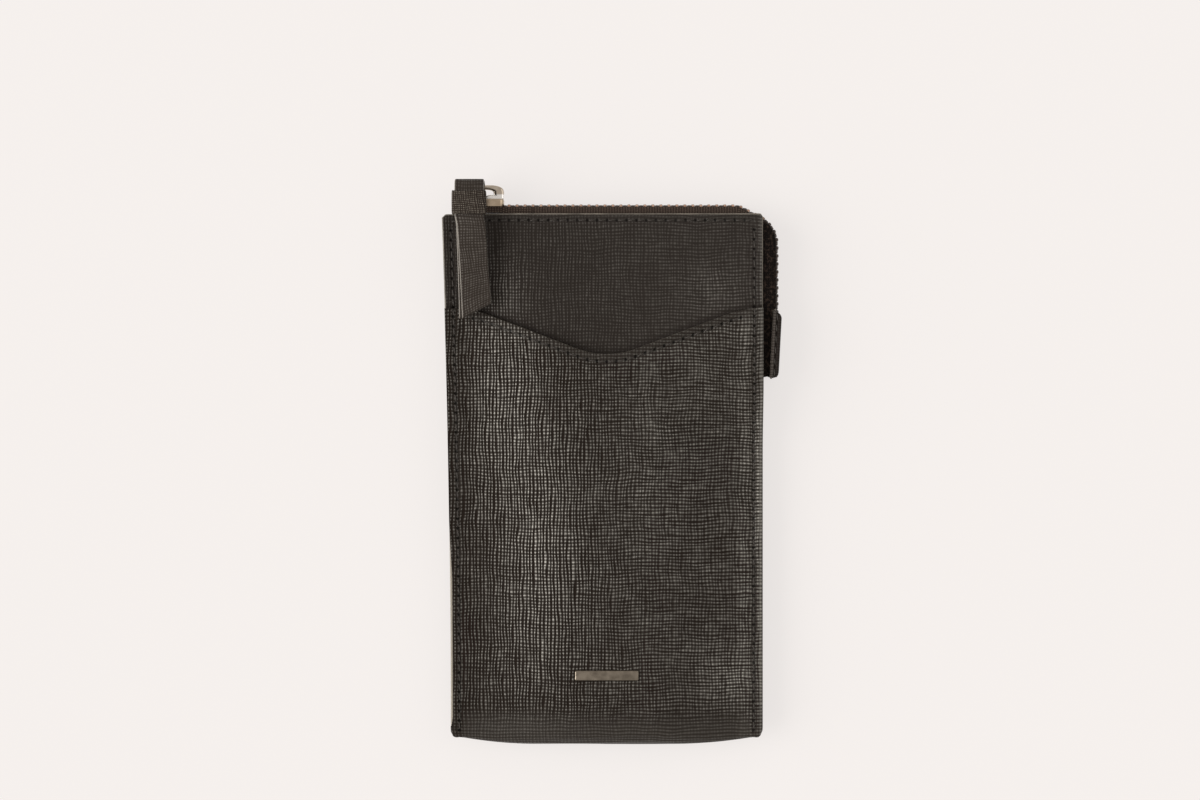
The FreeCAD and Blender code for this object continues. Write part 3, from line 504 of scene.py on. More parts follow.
SIDE_ROW = seam_row(-TOP_Y + FOLD_BULGE + CORNER_ROUND, TOP_Y - TOP_STITCH_INSET - STITCH_PITCH)
TOP_ROW = seam_row(
    left_edge(TOP_Y - TOP_STITCH_INSET) + SIDE_STITCH_INSET,
    HALF_WIDTH - SIDE_STITCH_INSET,
)
POCKET_ROW = seam_row(-LAND_X + STITCH_PITCH, LAND_X - STITCH_PITCH)
TAB_ROW = seam_row(TAB_LOW_Y, TAB_LOW_Y + TAB_LENGTH)


def seam_count(x, y, pocket):
    """Stitches counted along the nearest seam, so that whole numbers fall on the holes."""
    start, pitch, _ = POCKET_ROW if pocket else TOP_ROW
    reach = LAND_X - 1.0 if pocket else LAND_X + 1.6
    on_row = (np.abs(y - row_line(x, pocket)) < 1.7) & (np.abs(x) < reach)
    return np.where(on_row, (x - start) / pitch, (y - SIDE_ROW[0]) / SIDE_ROW[1])


def relief(x, y):
    """Soft form over the flat build: a low crown, and slow waves that fade on the lands."""
    middle = middle_share(x)
    ends = smooth((TOP_Y - y) / 30) * smooth((y + TOP_Y) / 26)
    slow = np.sin(x / 9.5 + 0.8 * np.sin(y / 21)) * np.sin(y / 13 + 1.1 * np.sin(x / 17))
    quick = 0.5 * np.sin(x / 4.3 - y / 6.1 + np.sin(y / 11))
    return CROWN * middle * ends + WAVE * np.sqrt(middle) * ends * (slow + quick)


def edge_roll(x):
    """One on the outermost strip of the right side, where the leather rolls down smooth."""
    return smooth((x - HALF_WIDTH + EDGE_ROLL) / EDGE_ROLL)


def dips(x, y, pocket):
    """The thread pulls a shallow groove, deepest at each hole, and the right edge rolls down."""
    along_seam = np.where(np.abs(x) > LAND_X, y, x)
    pull = 0.75 + 0.25 * np.cos(2 * np.pi * along_seam / STITCH_PITCH)
    return -SEAM_DIP * seam_mask(x, y, pocket) * pull - EDGE_DROP * edge_roll(x)


def pocket_face(x, y):
    """Outside of the pocket, with its lip standing a little open in the middle."""
    lip = LIP * np.exp((y - pocket_edge(x)) / LIP_RUN) * middle_share(x)
    return levels(fullness(x, y))[2] + relief(x, y) + lip + dips(x, y, True)


def panel_face(x, y):
    """Outside of the panel behind the pocket."""
    return levels(fullness(x, y))[1] + relief(x, y) + dips(x, y, False)


def outer_face(x, y):
    """The outermost front face: pocket below its edge, panel above it."""
    edge = pocket_edge(x)
    return np.where(y < edge + 0.5, pocket_face(x, np.minimum(y, edge)), panel_face(x, y))


def turned_under(x, start, high, low, turn, ridge):
    """Half circle from the front's height round to the back's, its radius grown by the ridge."""
    radius = (high - low) / 2 + ridge
    return stacked(x, start - radius * np.sin(turn), (high + low) / 2 + radius * np.cos(turn))


def wrap_points():
    """The wrap as one sheet: from the pocket's vee down the front, a half circle round the
    fold with small ridges, and up the flat back to the top. Low on the left the front's edge is
    set back a little, so that the layers under it show."""
    x = column_places()
    start = fold_start(x)
    shares = np.concatenate([
        [0],
        np.linspace(0.0055, 0.07, HEM_ROWS)[:-1],
        np.linspace(0.07, 1, FRONT_ROWS - HEM_ROWS),
    ])[:, None]
    y = pocket_edge(x) + (start - pocket_edge(x)) * shares
    set_back = LEFT_SETBACK * smooth((SETBACK_TOP_Y - y) / 30) * smooth((y - SETBACK_LOW_Y) / 8)
    front_x = flared(x, y) + set_back * np.clip((-LAND_X - x) / SIDE_LAND, 0, 1)
    front = stacked(front_x, y, pocket_face(front_x, y))
    turn = np.linspace(0, np.pi, 42)[1:-1, None]
    fold_x = flared(x, start)
    ridge = FOLD_RIDGE * np.sin(turn * FOLD_RIDGES + 1.3 * np.sin(x / 8)) * np.sin(turn) ** 2
    ridge = ridge * middle_share(x) - FOLD_DRAW_IN * np.sin(turn)
    low = levels(fullness(-np.abs(fold_x), start))[0]
    fold = turned_under(fold_x, start, pocket_face(fold_x, start), low, turn, ridge)
    y = start + (top_edge(x) - start) * np.linspace(0, 1, 70)[:, None]
    back_x = flared(x, y)
    back = stacked(back_x, y, levels(fullness(back_x, y))[0])
    return np.concatenate([front, fold, back])


def panel_points():
    """The front panel as one sheet, from its top edge down to just above the fold."""
    x = column_places()
    shares = np.concatenate([
        [0],
        np.linspace(0.0042, 0.045, 16)[:-1],
        np.linspace(0.045, 0.34, 60)[:-1],
        np.linspace(0.34, 1, 50),
    ])[:, None]
    low = fold_start(x) - 1.0
    y = top_edge(x) + (low - top_edge(x)) * shares
    panel_x = flared(x, y)
    return stacked(panel_x, y, panel_face(panel_x, y))


def lining_points():
    """The lining as one sheet just inside the leather: down the front, round, up the back."""
    x = column_places()
    start = fold_start(x)
    top = top_edge(x) - LINING_INSET
    deep = LEATHER + LAYER_GAP
    shares = np.linspace(0, 1, 90)[:, None]
    y = top + (start - top) * shares
    front_x = flared(x, y)
    front = stacked(front_x, y, levels(fullness(front_x, y))[1] - deep + relief(front_x, y))
    turn = np.linspace(0, np.pi, 20)[1:-1, None]
    fold_x = flared(x, start)
    low, high, _ = levels(fullness(-np.abs(fold_x), start))
    fold = turned_under(fold_x, start, high - deep + relief(fold_x, start), low + deep, turn, 0)
    y = start + (top - start) * shares
    back_x = flared(x, y)
    back = stacked(back_x, y, levels(fullness(back_x, y))[0] + deep)
    return np.concatenate([front, fold, back])


def flat_cut(points, level):
    """Flat place of each point of a sheet: its place across, and the distance run down from
    a row that lies level in the hide."""
    run = along(points)
    return np.stack([points[:, :, 0], points[level, :, 1] - run + run[level]], axis=2)


# Wear of the leather

def hem(x, y, pocket):
    """One on the strip between a sewing row and the leather's edge, which is pressed smooth."""
    pressed = 0.45 - 0.35 * smooth((-4 - x) / 26) if pocket else 0.45
    strip = pressed * smooth((y - row_line(x, pocket) + 0.3) / 0.8)
    return np.maximum(strip, smooth(2 * edge_roll(x)))


def rub(x, y, place):
    """One patch of painted highlight: a bell curve across times a bell curve up."""
    strength, middle_x, middle_y, half_x, half_y = place
    return strength * bell(x, middle_x, half_x) * bell(y, middle_y, half_y)


def painted_edge_highlight(x):
    """A painted highlight: a narrow bright line along the right edge."""
    return 2 * bell(x, HALF_WIDTH - EDGE_HIGHLIGHT_INSET, EDGE_HIGHLIGHT_HALF)


def rubbed_pocket(x, y):
    """Painted highlight on the pocket's grain, as a sum of bell curves: two broad ones left of the middle,
    where the side light falls, a faint one on the right, one by the lower right corner and narrow ones
    along the right seam and edge. It fades on the left land, at the fold and high on the right land."""
    outside = bell(x, HALF_WIDTH - 2.2, 0.8) * smooth((y + 40) / 30) * (1 - 0.85 * smooth((y - 10) / 24))
    inside = 0.3 * bell(x, HALF_WIDTH - 6.3, 2.2)
    broad = np.maximum(rub(x, y, PAINTED_LIGHT_HIGH), rub(x, y, PAINTED_LIGHT_LOW))
    small = rub(x, y, PAINTED_LIGHT_FAINT) + rub(x, y, PAINTED_LIGHT_CORNER)
    total = np.clip(0.29 + broad + small + outside + inside + painted_edge_highlight(x), 0, 2.3)
    fold = 1 - 0.5 * smooth((-68 - y) / 16)
    left_land = 0.6 + 0.4 * smooth((x + 51) / 9)
    right_land = 1 - 0.4 * smooth(x - LAND_X + 1) * smooth((y - 18) / 24)
    return total * fold * left_land * right_land * (1 - hem(x, y, True) * (x < LAND_X))


def rubbed_panel(x, y):
    """Painted highlight on the panel's grain: a bell by the pocket's mouth at either end, and a narrow
    line along the right edge. In the crease over the pocket's lip it drops below nought, a painted shade."""
    places = rub(x, y, PAINTED_LIGHT_PANEL_LEFT) + rub(x, y, PAINTED_LIGHT_PANEL_RIGHT)
    # Painted shade in the crease just over the pocket's lip
    crease = 1 - smooth((y - pocket_edge(x) - 0.4) / 1.8)
    return (0.18 + places + painted_edge_highlight(x)) * (1 - crease) - 0.4 * crease


# Sewing

def thread_shape():
    """A short thread along X: seven rings whose radius follows a rounded end, slightly arched
    so that both ends sink into the leather."""
    share = np.array([-1, -0.92, -0.7, 0, 0.7, 0.92, 1])[:, None]
    angle = full_turn(THREAD_SIDES)
    radius = THREAD_RADIUS * (np.sqrt(np.clip(1 - np.abs(share) ** 6, 0, 1)) * 0.94 + 0.06)
    arch = THREAD_RADIUS * (0.75 - 1.5 * share ** 2)
    points = stacked(
        share * STITCH_LENGTH / 2,
        radius * np.cos(angle),
        radius * np.sin(angle) + arch,
    )
    return points.reshape(-1, 3), stack_faces(share.size, THREAD_SIDES)


def stitch_row(name, x, y, dx, dy, height):
    """Threads at given places on a face, each turned along its row with a slight slant."""
    dx, dy, _ = np.broadcast_arrays(dx, dy, x)
    size = np.hypot(dx, dy)
    dx, dy = dx / size, dy / size
    slant_x = dx * math.cos(THREAD_SLANT) - dy * math.sin(THREAD_SLANT)
    slant_y = dx * math.sin(THREAD_SLANT) + dy * math.cos(THREAD_SLANT)
    reach = STITCH_LENGTH / 2
    low = height(x - slant_x * reach, y - slant_y * reach)
    high = height(x + slant_x * reach, y + slant_y * reach)
    run = np.stack([slant_x * 2 * reach, slant_y * 2 * reach, high - low], axis=1)
    run /= np.linalg.norm(run, axis=1)[:, None]
    side = np.stack([-slant_y, slant_x, np.full_like(x, THREAD_TILT)], axis=1)
    side -= run * np.sum(run * side, axis=1)[:, None]
    side /= np.linalg.norm(side, axis=1)[:, None]
    turns = np.stack([run, side, np.cross(run, side)], axis=2)
    places = np.stack([x, y, np.maximum(height(x, y), (low + high) / 2)], axis=1)
    return repeated(name, *thread_shape(), turns, places)


def row_places(row):
    """Middles of the stitches of a row at an even pitch."""
    start, pitch, count = row
    return start + (np.arange(count) + 0.5) * pitch


# Zip tape and teeth

def tucked(x):
    """One where the tape's left end is tucked into the seam, and nought along the rest."""
    return smooth((TAPE_TUCK_X - x) / (TAPE_TUCK_X - TAPE_START_X))


def zip_route():
    """The chain's middle line and its outward side: along the top, a quarter round, and down
    the right side into the seam. It sags a little just before the corner, and its left end is
    tucked down into the seam. The points lie closer where it bends."""
    corner_x, corner_y = CHAIN_X - CHAIN_RADIUS, CHAIN_Y - CHAIN_RADIUS
    top_x = np.concatenate([
        np.linspace(TAPE_START_X, TAPE_TUCK_X, 9)[:-1],
        np.linspace(TAPE_TUCK_X, TRIM_X - 1, 30),
        np.linspace(TRIM_X, CLOSE_X, 60)[:-1],
        np.linspace(CLOSE_X, corner_x, 13),
    ])
    turn = np.linspace(0, np.pi / 2, 26)[1:-1]
    down_y = np.concatenate([
        np.linspace(corner_y, CLOSE_Y, 40),
        np.linspace(CLOSE_Y - 0.5, GUSSET_LOW_Y, 40),
    ])
    down_x = CHAIN_X - SEAM_IN * smooth((SEAM_IN_Y - down_y) / SEAM_IN_RUN)
    x = np.concatenate([top_x, corner_x + CHAIN_RADIUS * np.sin(turn), down_x])
    y = np.concatenate([
        np.full_like(top_x, CHAIN_Y),
        corner_y + CHAIN_RADIUS * np.cos(turn),
        down_y,
    ])
    out_x = np.concatenate([np.zeros_like(top_x), np.sin(turn), np.ones_like(down_y)])
    out_y = np.sqrt(1 - out_x ** 2)
    lowered = ZIP_SAG * smooth((x - SAG_START_X) / SAG_RUN) * out_y + TAPE_TUCK * tucked(x)
    return x, y - lowered, out_x, out_y


def tooth_shape(side):
    """One moulded tooth: its plan, broad at the root and hooked at the head, drawn at four
    heights, with the first and last drawn in so that the edges are rounded."""
    plan = np.array([
        (-0.75, 2.6), (0.75, 2.6), (0.75, 1.4), (0.5, 0.4), (0.5, -0.8),
        (0.2, -1.0), (-0.2, -1.0), (-0.5, -0.8), (-0.5, 0.4), (-0.75, 1.4),
    ])
    heights = np.array([-TOOTH_HALF, -0.6, 0.55, TOOTH_HALF])[:, None]
    shrink_shares = np.array([0.72, 1, 1, 0.68])[:, None, None]
    middle = plan.mean(axis=0)
    rings = middle + (plan - middle) * shrink_shares
    points = stacked(rings[:, :, 0], heights, side * rings[:, :, 1]).reshape(-1, 3)
    faces = stack_faces(heights.size, len(plan))
    return points, faces if side > 0 else [face[::-1] for face in faces]


def add_teeth(name, side, lead, stand):
    """A row of teeth at an even pitch along the zip's route, each turned to its outward side
    and standing out by the given height."""
    x, y, out_x, out_y = zip_route()
    run = running(x, y)
    top, down = out_y == 1, out_x == 1
    first = np.interp(TEETH_START_X, x[top], run[top])
    last = np.interp(-ZIP_END_Y - TEETH_UNDER_TAB, -y[down], run[down])
    place = first + (np.arange(int((last - first) / TOOTH_PITCH)) + lead) * TOOTH_PITCH
    level = np.zeros_like(place)
    out = np.stack([np.interp(place, run, out_x), np.interp(place, run, out_y), level], axis=1)
    out /= np.linalg.norm(out, axis=1)[:, None]
    up = np.stack([level, level, level + 1], axis=1)
    turns = np.stack([np.cross(out, up), out, up], axis=2)
    places = np.stack([np.interp(place, run, x), np.interp(place, run, y), level + CHAIN_Z], axis=1)
    return repeated(name, *tooth_shape(side), turns, places + stand * out)


def tape_points(side):
    """Half of the zip tape: an angled strip section carried along the top, round the corner
    and down the side, where it narrows into the side seam as a small gusset. The left end
    draws in towards the slider and is pinched into the seam."""
    x, y, out_x, out_y = (values[:, None] for values in zip_route())
    full = np.where(out_x > 0.99, mouth(y), 1)
    leaf = inner_gap(full) / 2 + LINING - TAPE_DRAW_IN * smooth((TRIM_X - x) / TAPE_DRAW_RUN)
    leaf = np.maximum(leaf * (1 - TAPE_PINCH_SHARE * tucked(x)), TAPE + TAPE_LEAST)
    inside = leaf - TAPE
    bend = np.minimum(TAPE_BEND, inside)
    edge = np.clip(np.minimum(TAPE_EDGE, leaf - bend - 0.01), 0.02, None)
    trimmed = TRIMMED_DEPTH - TRIMMED_LESS * smooth((TRIMMED_LESS_X - x) / 3)
    depth = np.where(x < TRIM_X - 0.5, trimmed, TAPE_DEPTH)
    gusset = GUSSET_DEPTH + GUSSET_SLOPE * np.maximum(y - GUSSET_LOW_Y, 0)
    depth = np.where(y < GUSSET_Y, np.minimum(depth, gusset), depth)
    half = np.full_like(x, TAPE / 2)
    quarter = np.linspace(0, np.pi / 2, 7)[None, :]
    inner = np.maximum(bend - TAPE, 0.05)
    part_way_shares = np.array([[0.3, 0.65]])
    level = (half - bend) * (1 - part_way_shares) - depth * part_way_shares
    off = np.concatenate([
        half,
        half - bend * (1 - np.cos(quarter)),
        level, -depth, -depth, level[:, ::-1],
        half - bend + inner * np.cos(quarter[:, ::-1]),
        -half,
    ], axis=1)
    z = np.concatenate([
        edge,
        leaf - bend * (1 - np.sin(quarter)),
        leaf, leaf, leaf, inside, inside, inside,
        leaf - bend + inner * np.sin(quarter[:, ::-1]),
        edge,
    ], axis=1)
    points = stacked(x + out_x * off, y + out_y * off, CHAIN_Z + side * z)
    if side > 0:
        points = points[:, ::-1]
    ring = np.concatenate([points, points[:, :1]], axis=1)
    around = along(ring.transpose(1, 0, 2)).T
    return points, stacked(running(x[:, 0], y[:, 0])[:, None], around)


# Tab over the zip's end

def tab_lean(y):
    """How far the tab leans towards the pouch: nothing at its top, most at its foot."""
    return -TAB_LEAN * (1 - (y - TAB_LOW_Y) / TAB_LENGTH)


def tab_groove(x):
    """Depth of the sewn groove that runs down the tab, a bell curve across it."""
    return TAB_GROOVE * bell(x, TAB_SEAM_X, TAB_GROOVE_HALF)


def tab_face(x, y):
    """Front of the leaning tab with its groove."""
    return TAB_TOP_Z - tab_groove(x - tab_lean(y))


def rubbed_tab(x, y):
    """Painted light on the tab: a painted highlight on the strip beside the sewn groove, and painted shade
    in the groove.
    """
    upright = x - tab_lean(y)
    return 1.3 * bell(upright, TAB_SEAM_X - 0.8, 0.5) - 0.4 * bell(upright, TAB_SEAM_X, 0.45)


def tab_points():
    """The end tab as one sheet: a U section, from the front edge round the fold to the back
    edge, carried down the side. It leans, its corners are rounded, and a sewn groove runs
    down its front."""
    share = np.linspace(0, 1, 40)[:, None]
    y = TAB_LOW_Y + TAB_LENGTH * share
    over = np.clip((np.abs(share - 0.5) - 0.5) * TAB_LENGTH / TAB_CORNER_RISE + 1, 0, 1)
    fold_x = TAB_FOLD_X - TAB_CORNER_DEPTH * (1 - np.sqrt(1 - over ** 2))
    high = TAB_TOP_Z
    low = CHAIN_Z - TAB_HALF - TAB_LEATHER
    quarter = np.linspace(0, np.pi / 2, 12)[None, :]
    mid = np.linspace(0, 1, 12)[None, 1:-1]
    leaf = np.concatenate([[0], np.linspace(0.25, 1, 16)[:-1]])[None, :]
    leaf_x = TAB_ROOT_X + (fold_x - TAB_BEND - TAB_ROOT_X) * leaf
    x = np.concatenate([
        leaf_x,
        fold_x - TAB_BEND + TAB_BEND * np.sin(quarter),
        fold_x + 0 * mid,
        fold_x - TAB_BEND + TAB_BEND * np.cos(quarter),
        leaf_x[:, ::-1],
    ], axis=1)
    z = np.concatenate([
        high + 0 * leaf,
        high - TAB_BEND + TAB_BEND * np.cos(quarter),
        high - TAB_BEND + (low - high + 2 * TAB_BEND) * mid,
        low + TAB_BEND - TAB_BEND * np.sin(quarter),
        low + 0 * leaf,
    ], axis=1)
    z = z - tab_groove(x) * (z > CHAIN_Z)
    slant = TAB_TOP_SLANT * (TAB_SEAM_X - x) * smooth(share * 8 - 7)
    slant = slant - TAB_FOOT_SLANT * (x - TAB_SEAM_X) * smooth(1 - share * 8)
    points = stacked(x + tab_lean(y), y + slant, z)[::-1]
    around = along(points.transpose(1, 0, 2)).T
    return points, stacked(around, points[:, :, 1])


# Slider's arch and the pull

def bridge_points():
    """The slider's arch on its foot: a rounded bar section carried round a closed D between an
    outer and an inner outline. Above the foot both are superellipses, the inner one set to the
    left, so that the right leg is broad. Below, both run level, and the inner one drops where
    the strap passes through."""
    angle = np.concatenate([np.linspace(np.pi, 0, 60), np.linspace(0, -np.pi, 26)[1:-1]])
    above = np.sin(angle) > -1e-9

    def outline(left, right, rise, drop, power):
        bend = np.where(above, power, FOOT_BLUNT)
        x = (left + right) / 2 + (right - left) / 2 * blunt(np.cos(angle), bend)
        y = ARCH_FOOT_Y + np.where(above, rise, -drop) * np.abs(np.sin(angle)) ** bend
        return np.stack([x, y], axis=1)

    foot = ARCH_FOOT_Y - PLATE_TOP_Y
    outer = outline(SLIDER_LEFT, SLIDER_RIGHT, BRIDGE_Y - ARCH_FOOT_Y, foot + PLATE_OVERLAP, ARCH_BLUNT)
    inner = outline(
        SLIDER_LEFT + BRIDGE_BAR, SLIDER_RIGHT - BRIDGE_LEG, ARCH_WINDOW, ARCH_SILL, BRIDGE_BLUNT,
    )
    passage = smooth((NECK_PASSAGE_X - inner[:, 0]) / PASSAGE_EDGE) * ~above
    inner[:, 1] -= (foot - PASSAGE_FLOOR) * passage
    middle, reach = (outer + inner) / 2, (outer - inner) / 2
    around = full_turn(16)
    section = blunt(np.cos(around), BRIDGE_BLUNT)
    width = blunt(np.sin(around), BRIDGE_BLUNT) * BRIDGE_WIDTH / 2
    points = stacked(
        middle[:, :1] + reach[:, :1] * section,
        middle[:, 1:] + reach[:, 1:] * section,
        CHAIN_Z + width,
    )
    cut = stacked(np.linspace(0, 36, angle.size + 1)[:, None], np.linspace(0, 7, around.size + 1))
    return points[:, ::-1], cut


def strap_face(offset):
    """Face of the folded strip at a depth in the leather, as points across the page and up:
    lower leaf, bend, crossing, loop round the bar, and back over the bend to the upper leaf.
    The crossing touches the bend and the loop, on opposite sides of the leather."""
    inner = STRAP_BEND + STRAP_LEATHER - offset
    loop = LOOP_RADIUS + offset
    outer = STRAP_BEND + STRAP_LEATHER + LEAF_GAP + offset
    bend = np.array([BEND_Y, BEND_Z])
    bar = np.array([BAR_Y, CHAIN_Z])
    gone = bar - bend
    turn = math.atan2(gone[0], -gone[1]) - math.acos(-(inner + loop) / np.hypot(*gone))
    leave = math.atan2(math.cos(turn), -math.sin(turn))
    meet = (leave + np.pi) % (2 * np.pi) - 2 * np.pi
    long = np.linspace(0, 1, 44)[:, None]
    short = np.linspace(0, 1, 10)[1:-1, None]
    low = np.array([TAIL_Y, BEND_Z + inner]) + long * np.array([BEND_Y - TAIL_Y, 0])
    first = arc(bend, inner, np.linspace(np.pi / 2, leave, 9)[1:])
    hoop = arc(bar, loop, np.linspace(meet, 0, 18))
    crossing = first[-1] + short * (hoop[0] - first[-1])
    rise = hoop[-1] + short * (np.array([hoop[-1][0], BEND_Z]) - hoop[-1])
    last = arc(bend, outer, np.linspace(0, np.pi / 2, 12))
    high = last[-1] + long[1:] * (np.array([TAIL_Y, BEND_Z + outer]) - last[-1])
    return np.concatenate([low, first, crossing, hoop, rise, last, high])


def strap_points():
    """The strap: a rounded strip section carried along its folded path. It narrows where it
    passes the arch, is cut at a slant, and its two leaves droop and part a little at the tail."""
    inside, outside = strap_face(0.0), strap_face(STRAP_LEATHER)
    around = full_turn(STRAP_SIDES)
    across = 0.5 + 0.5 * blunt(np.cos(around), 0.08)
    depth = 0.5 + 0.5 * blunt(np.sin(around), 0.5)
    run_y = inside[:, :1]
    middle_z = (inside[:, 1:] + outside[:, 1:]) / 2
    leaf = middle_z > BEND_Z
    upper = np.arange(len(inside))[:, None] > len(inside) / 2
    neck = (STRAP_WIDTH - NECK_WIDTH) * smooth((NECK_START_Z - middle_z) / NECK_RUN)
    share = np.clip((BEND_Y - run_y) / (BEND_Y - TAIL_Y), 0, 1) * leaf
    hang = np.clip((STRAP_HELD_Y - run_y) / (STRAP_HELD_Y - TAIL_Y), 0, 1) * leaf
    aside = STRAP_ASIDE * smooth((STRAP_HELD_Y - run_y) / STRAP_ASIDE_RUN) * leaf
    left = STRAP_LEFT + neck + aside + TAIL_LEFT * hang + TAIL_LEFT_UPPER * hang ** 0.6 * upper
    right = STRAP_LEFT + STRAP_WIDTH + aside + np.where(upper, TAIL_RIGHT_UPPER, TAIL_RIGHT) * hang
    lift = TAIL_PARTING * smooth(hang) * upper - STRAP_DROOP * smooth(hang / 0.8)
    x = left + (right - left) * across
    flat = inside[:, None, :] + (outside - inside)[:, None, :] * depth[None, :, None]
    y = flat[:, :, 0] + STRAP_SLANT * across * share ** 3
    y = y + LOOP_TILT * (x - NECK_PASSAGE_X) * smooth((BEND_Z - flat[:, :, 1]) / 3)
    points = stacked(x, y, flat[:, :, 1] + lift)
    width = np.append(across, across[0]) * STRAP_WIDTH
    return points, stacked(width, running(*inside.T)[:, None])


def keeper_points():
    """The keeper: a soft strip section carried round both leaves in a rounded rectangle, with
    slightly ragged edges."""
    wall = KEEPER_CLEARANCE + KEEPER_LEATHER / 2
    half_x = STRAP_WIDTH / 2 + wall
    half_z = (LEAF_TOP_Z - LEAF_LOW_Z) / 2 + wall
    around = full_turn(72)
    middle_x = STRAP_LEFT + STRAP_WIDTH / 2 + half_x * blunt(np.cos(around), 0.22)
    middle_z = (LEAF_LOW_Z + LEAF_TOP_Z) / 2 + half_z * blunt(np.sin(around), 0.34)
    step_x = np.roll(middle_x, -1) - np.roll(middle_x, 1)
    step_z = np.roll(middle_z, -1) - np.roll(middle_z, 1)
    size = np.hypot(step_x, step_z)
    out_x, out_z = step_z / size, -step_x / size
    section = full_turn(24)
    width = blunt(np.cos(section), 0.25) * KEEPER_LENGTH / 2
    thick = blunt(np.sin(section), 0.7) * KEEPER_LEATHER / 2
    ragged = KEEPER_RAGGED * (np.sin(around * 7) + np.sin(around * 17 + 1) * 2 / 3)
    points = stacked(
        middle_x[:, None] + out_x[:, None] * thick,
        BEND_Y - KEEPER_LENGTH / 2 + width + ragged[:, None] * np.cos(section),
        middle_z[:, None] + out_z[:, None] * thick,
    )
    run = running(np.append(middle_x, middle_x[0]), np.append(middle_z, middle_z[0]))
    return points, stacked(run[:, None], np.append(width, width[0]))


# Materials

def linear(code):
    """Linear colour of an sRGB hex value."""
    values = [int(code[n:n + 2], 16) / 255 for n in (1, 3, 5)]
    return tuple(v / 12.92 if v <= 0.04045 else ((v + 0.055) / 1.055) ** 2.4 for v in values) + (1.0,)


def add(tree, kind, links=None, out=0, stops=None, **settings):
    """Adds a shader node with its settings and gives one of its outputs. Each link is a socket to
    join or a value to set, and stops are the two places and hex colours of a colour ramp."""
    node = tree.nodes.new("ShaderNode" + kind)
    for key, value in settings.items():
        setattr(node, key, value)
    for socket, value in (links or {}).items():
        if isinstance(value, bpy.types.NodeSocket):
            tree.links.new(value, node.inputs[socket])
        else:
            node.inputs[socket].default_value = value
    if stops:
        for element, (place, code) in zip(node.color_ramp.elements, stops):
            element.position = place
            element.color = linear(code)
    return node.outputs[out] if node.outputs else None


def material(name):
    """New material with an empty node tree."""
    made = bpy.data.materials.new(name)
    made.use_nodes = True
    made.node_tree.nodes.clear()
    return made, made.node_tree


def wave_scale(pitch):
    """Scale of a band pattern whose bands lie this far apart: it has 20 radians to a unit."""
    return 2 * math.pi / (20 * pitch)


def grain_lines(tree, place, pitch):
    """Embossed lines of the leather: waves across and down, and how deep each line is cut along
    its run. The lines wander slowly over 24 mm, and each shifts a little along its own run, so
    that the spacing is uneven."""
    drift = add(tree, "TexNoise", {"Vector": place, "Scale": 1 / 24, "Detail": 2.0}, "Color")
    tall = add(tree, "Mapping", {"Vector": place, "Scale": (1 / 2.2, 1 / 11, 1.0)})
    wide = add(tree, "Mapping", {"Vector": place, "Scale": (1 / 9, 1 / 2.4, 1.0)})
    tall_cut = add(tree, "TexNoise", {"Vector": tall, "Scale": 1.0, "Detail": 2.0}, "Fac")
    wide_cut = add(tree, "TexNoise", {"Vector": wide, "Scale": 1.0, "Detail": 2.0}, "Fac")
    wander = add(tree, "VectorMath", {0: drift, 1: (-0.5, -0.5, -0.5)}, operation="ADD")
    wander = add(tree, "VectorMath", {0: wander, 1: (3.2, 3.2, 0.0)}, operation="MULTIPLY")
    shift = add(tree, "CombineXYZ", {0: tall_cut, 1: wide_cut})
    shift = add(tree, "VectorMath", {0: shift, 1: (1.45, 1.0, 0.0)}, operation="MULTIPLY")
    moved = add(tree, "VectorMath", {0: place, 1: wander}, operation="ADD")
    moved = add(tree, "VectorMath", {0: moved, 1: shift}, operation="ADD")
    across, down = wave_scale(pitch * 1.05), wave_scale(pitch * 1.07)
    columns = add(tree, "TexWave", {"Vector": moved, "Scale": across}, "Fac", bands_direction="X")
    rows = add(tree, "TexWave", {"Vector": moved, "Scale": down}, "Fac", bands_direction="Y")
    return columns, rows, tall_cut, wide_cut


def grain_pillows(tree, place, strength, lines):
    """Height of the small pillows that the crossed lines leave. The upright lines are deepest on
    the left and the level ones on the right, with a ragged change between them."""
    columns, rows, tall_cut, wide_cut = lines
    across = add(tree, "SeparateXYZ", {0: place})
    patch = add(tree, "TexNoise", {"Vector": place, "Scale": 1 / 22, "Detail": 3.0}, "Fac")
    ragged = add(tree, "Math", {0: patch, 1: 34.0, 2: -17.0}, operation="MULTIPLY_ADD")
    ragged = add(tree, "Math", {0: across, 1: ragged}, operation="ADD")
    right = add(
        tree, "MapRange", {"Value": ragged, "From Min": -26.0, "From Max": 22.0},
        interpolation_type="SMOOTHSTEP",
    )
    upright = add(tree, "MapRange", {"Value": right, "To Min": 1.0, "To Max": 0.45})
    level = add(tree, "MapRange", {"Value": right, "To Min": 0.55, "To Max": 0.62})
    pillow = strength
    for wave, cut, share in ((columns, tall_cut, upright), (rows, wide_cut, level)):
        wall = add(
            tree, "MapRange", {"Value": wave, "From Min": 0.15, "To Min": 1.0, "To Max": 0.0},
            interpolation_type="SMOOTHSTEP",
        )
        deep = add(
            tree, "MapRange",
            {"Value": cut, "From Min": 0.32, "From Max": 0.64, "To Min": 0.55, "To Max": 1.0},
        )
        line = add(tree, "Math", {0: wall, 1: deep}, operation="MULTIPLY")
        line = add(tree, "Math", {0: line, 1: share}, operation="MULTIPLY")
        top = add(tree, "Math", {0: 1.0, 1: line}, operation="SUBTRACT")
        pillow = add(tree, "Math", {0: pillow, 1: top}, operation="MULTIPLY")
    return pillow


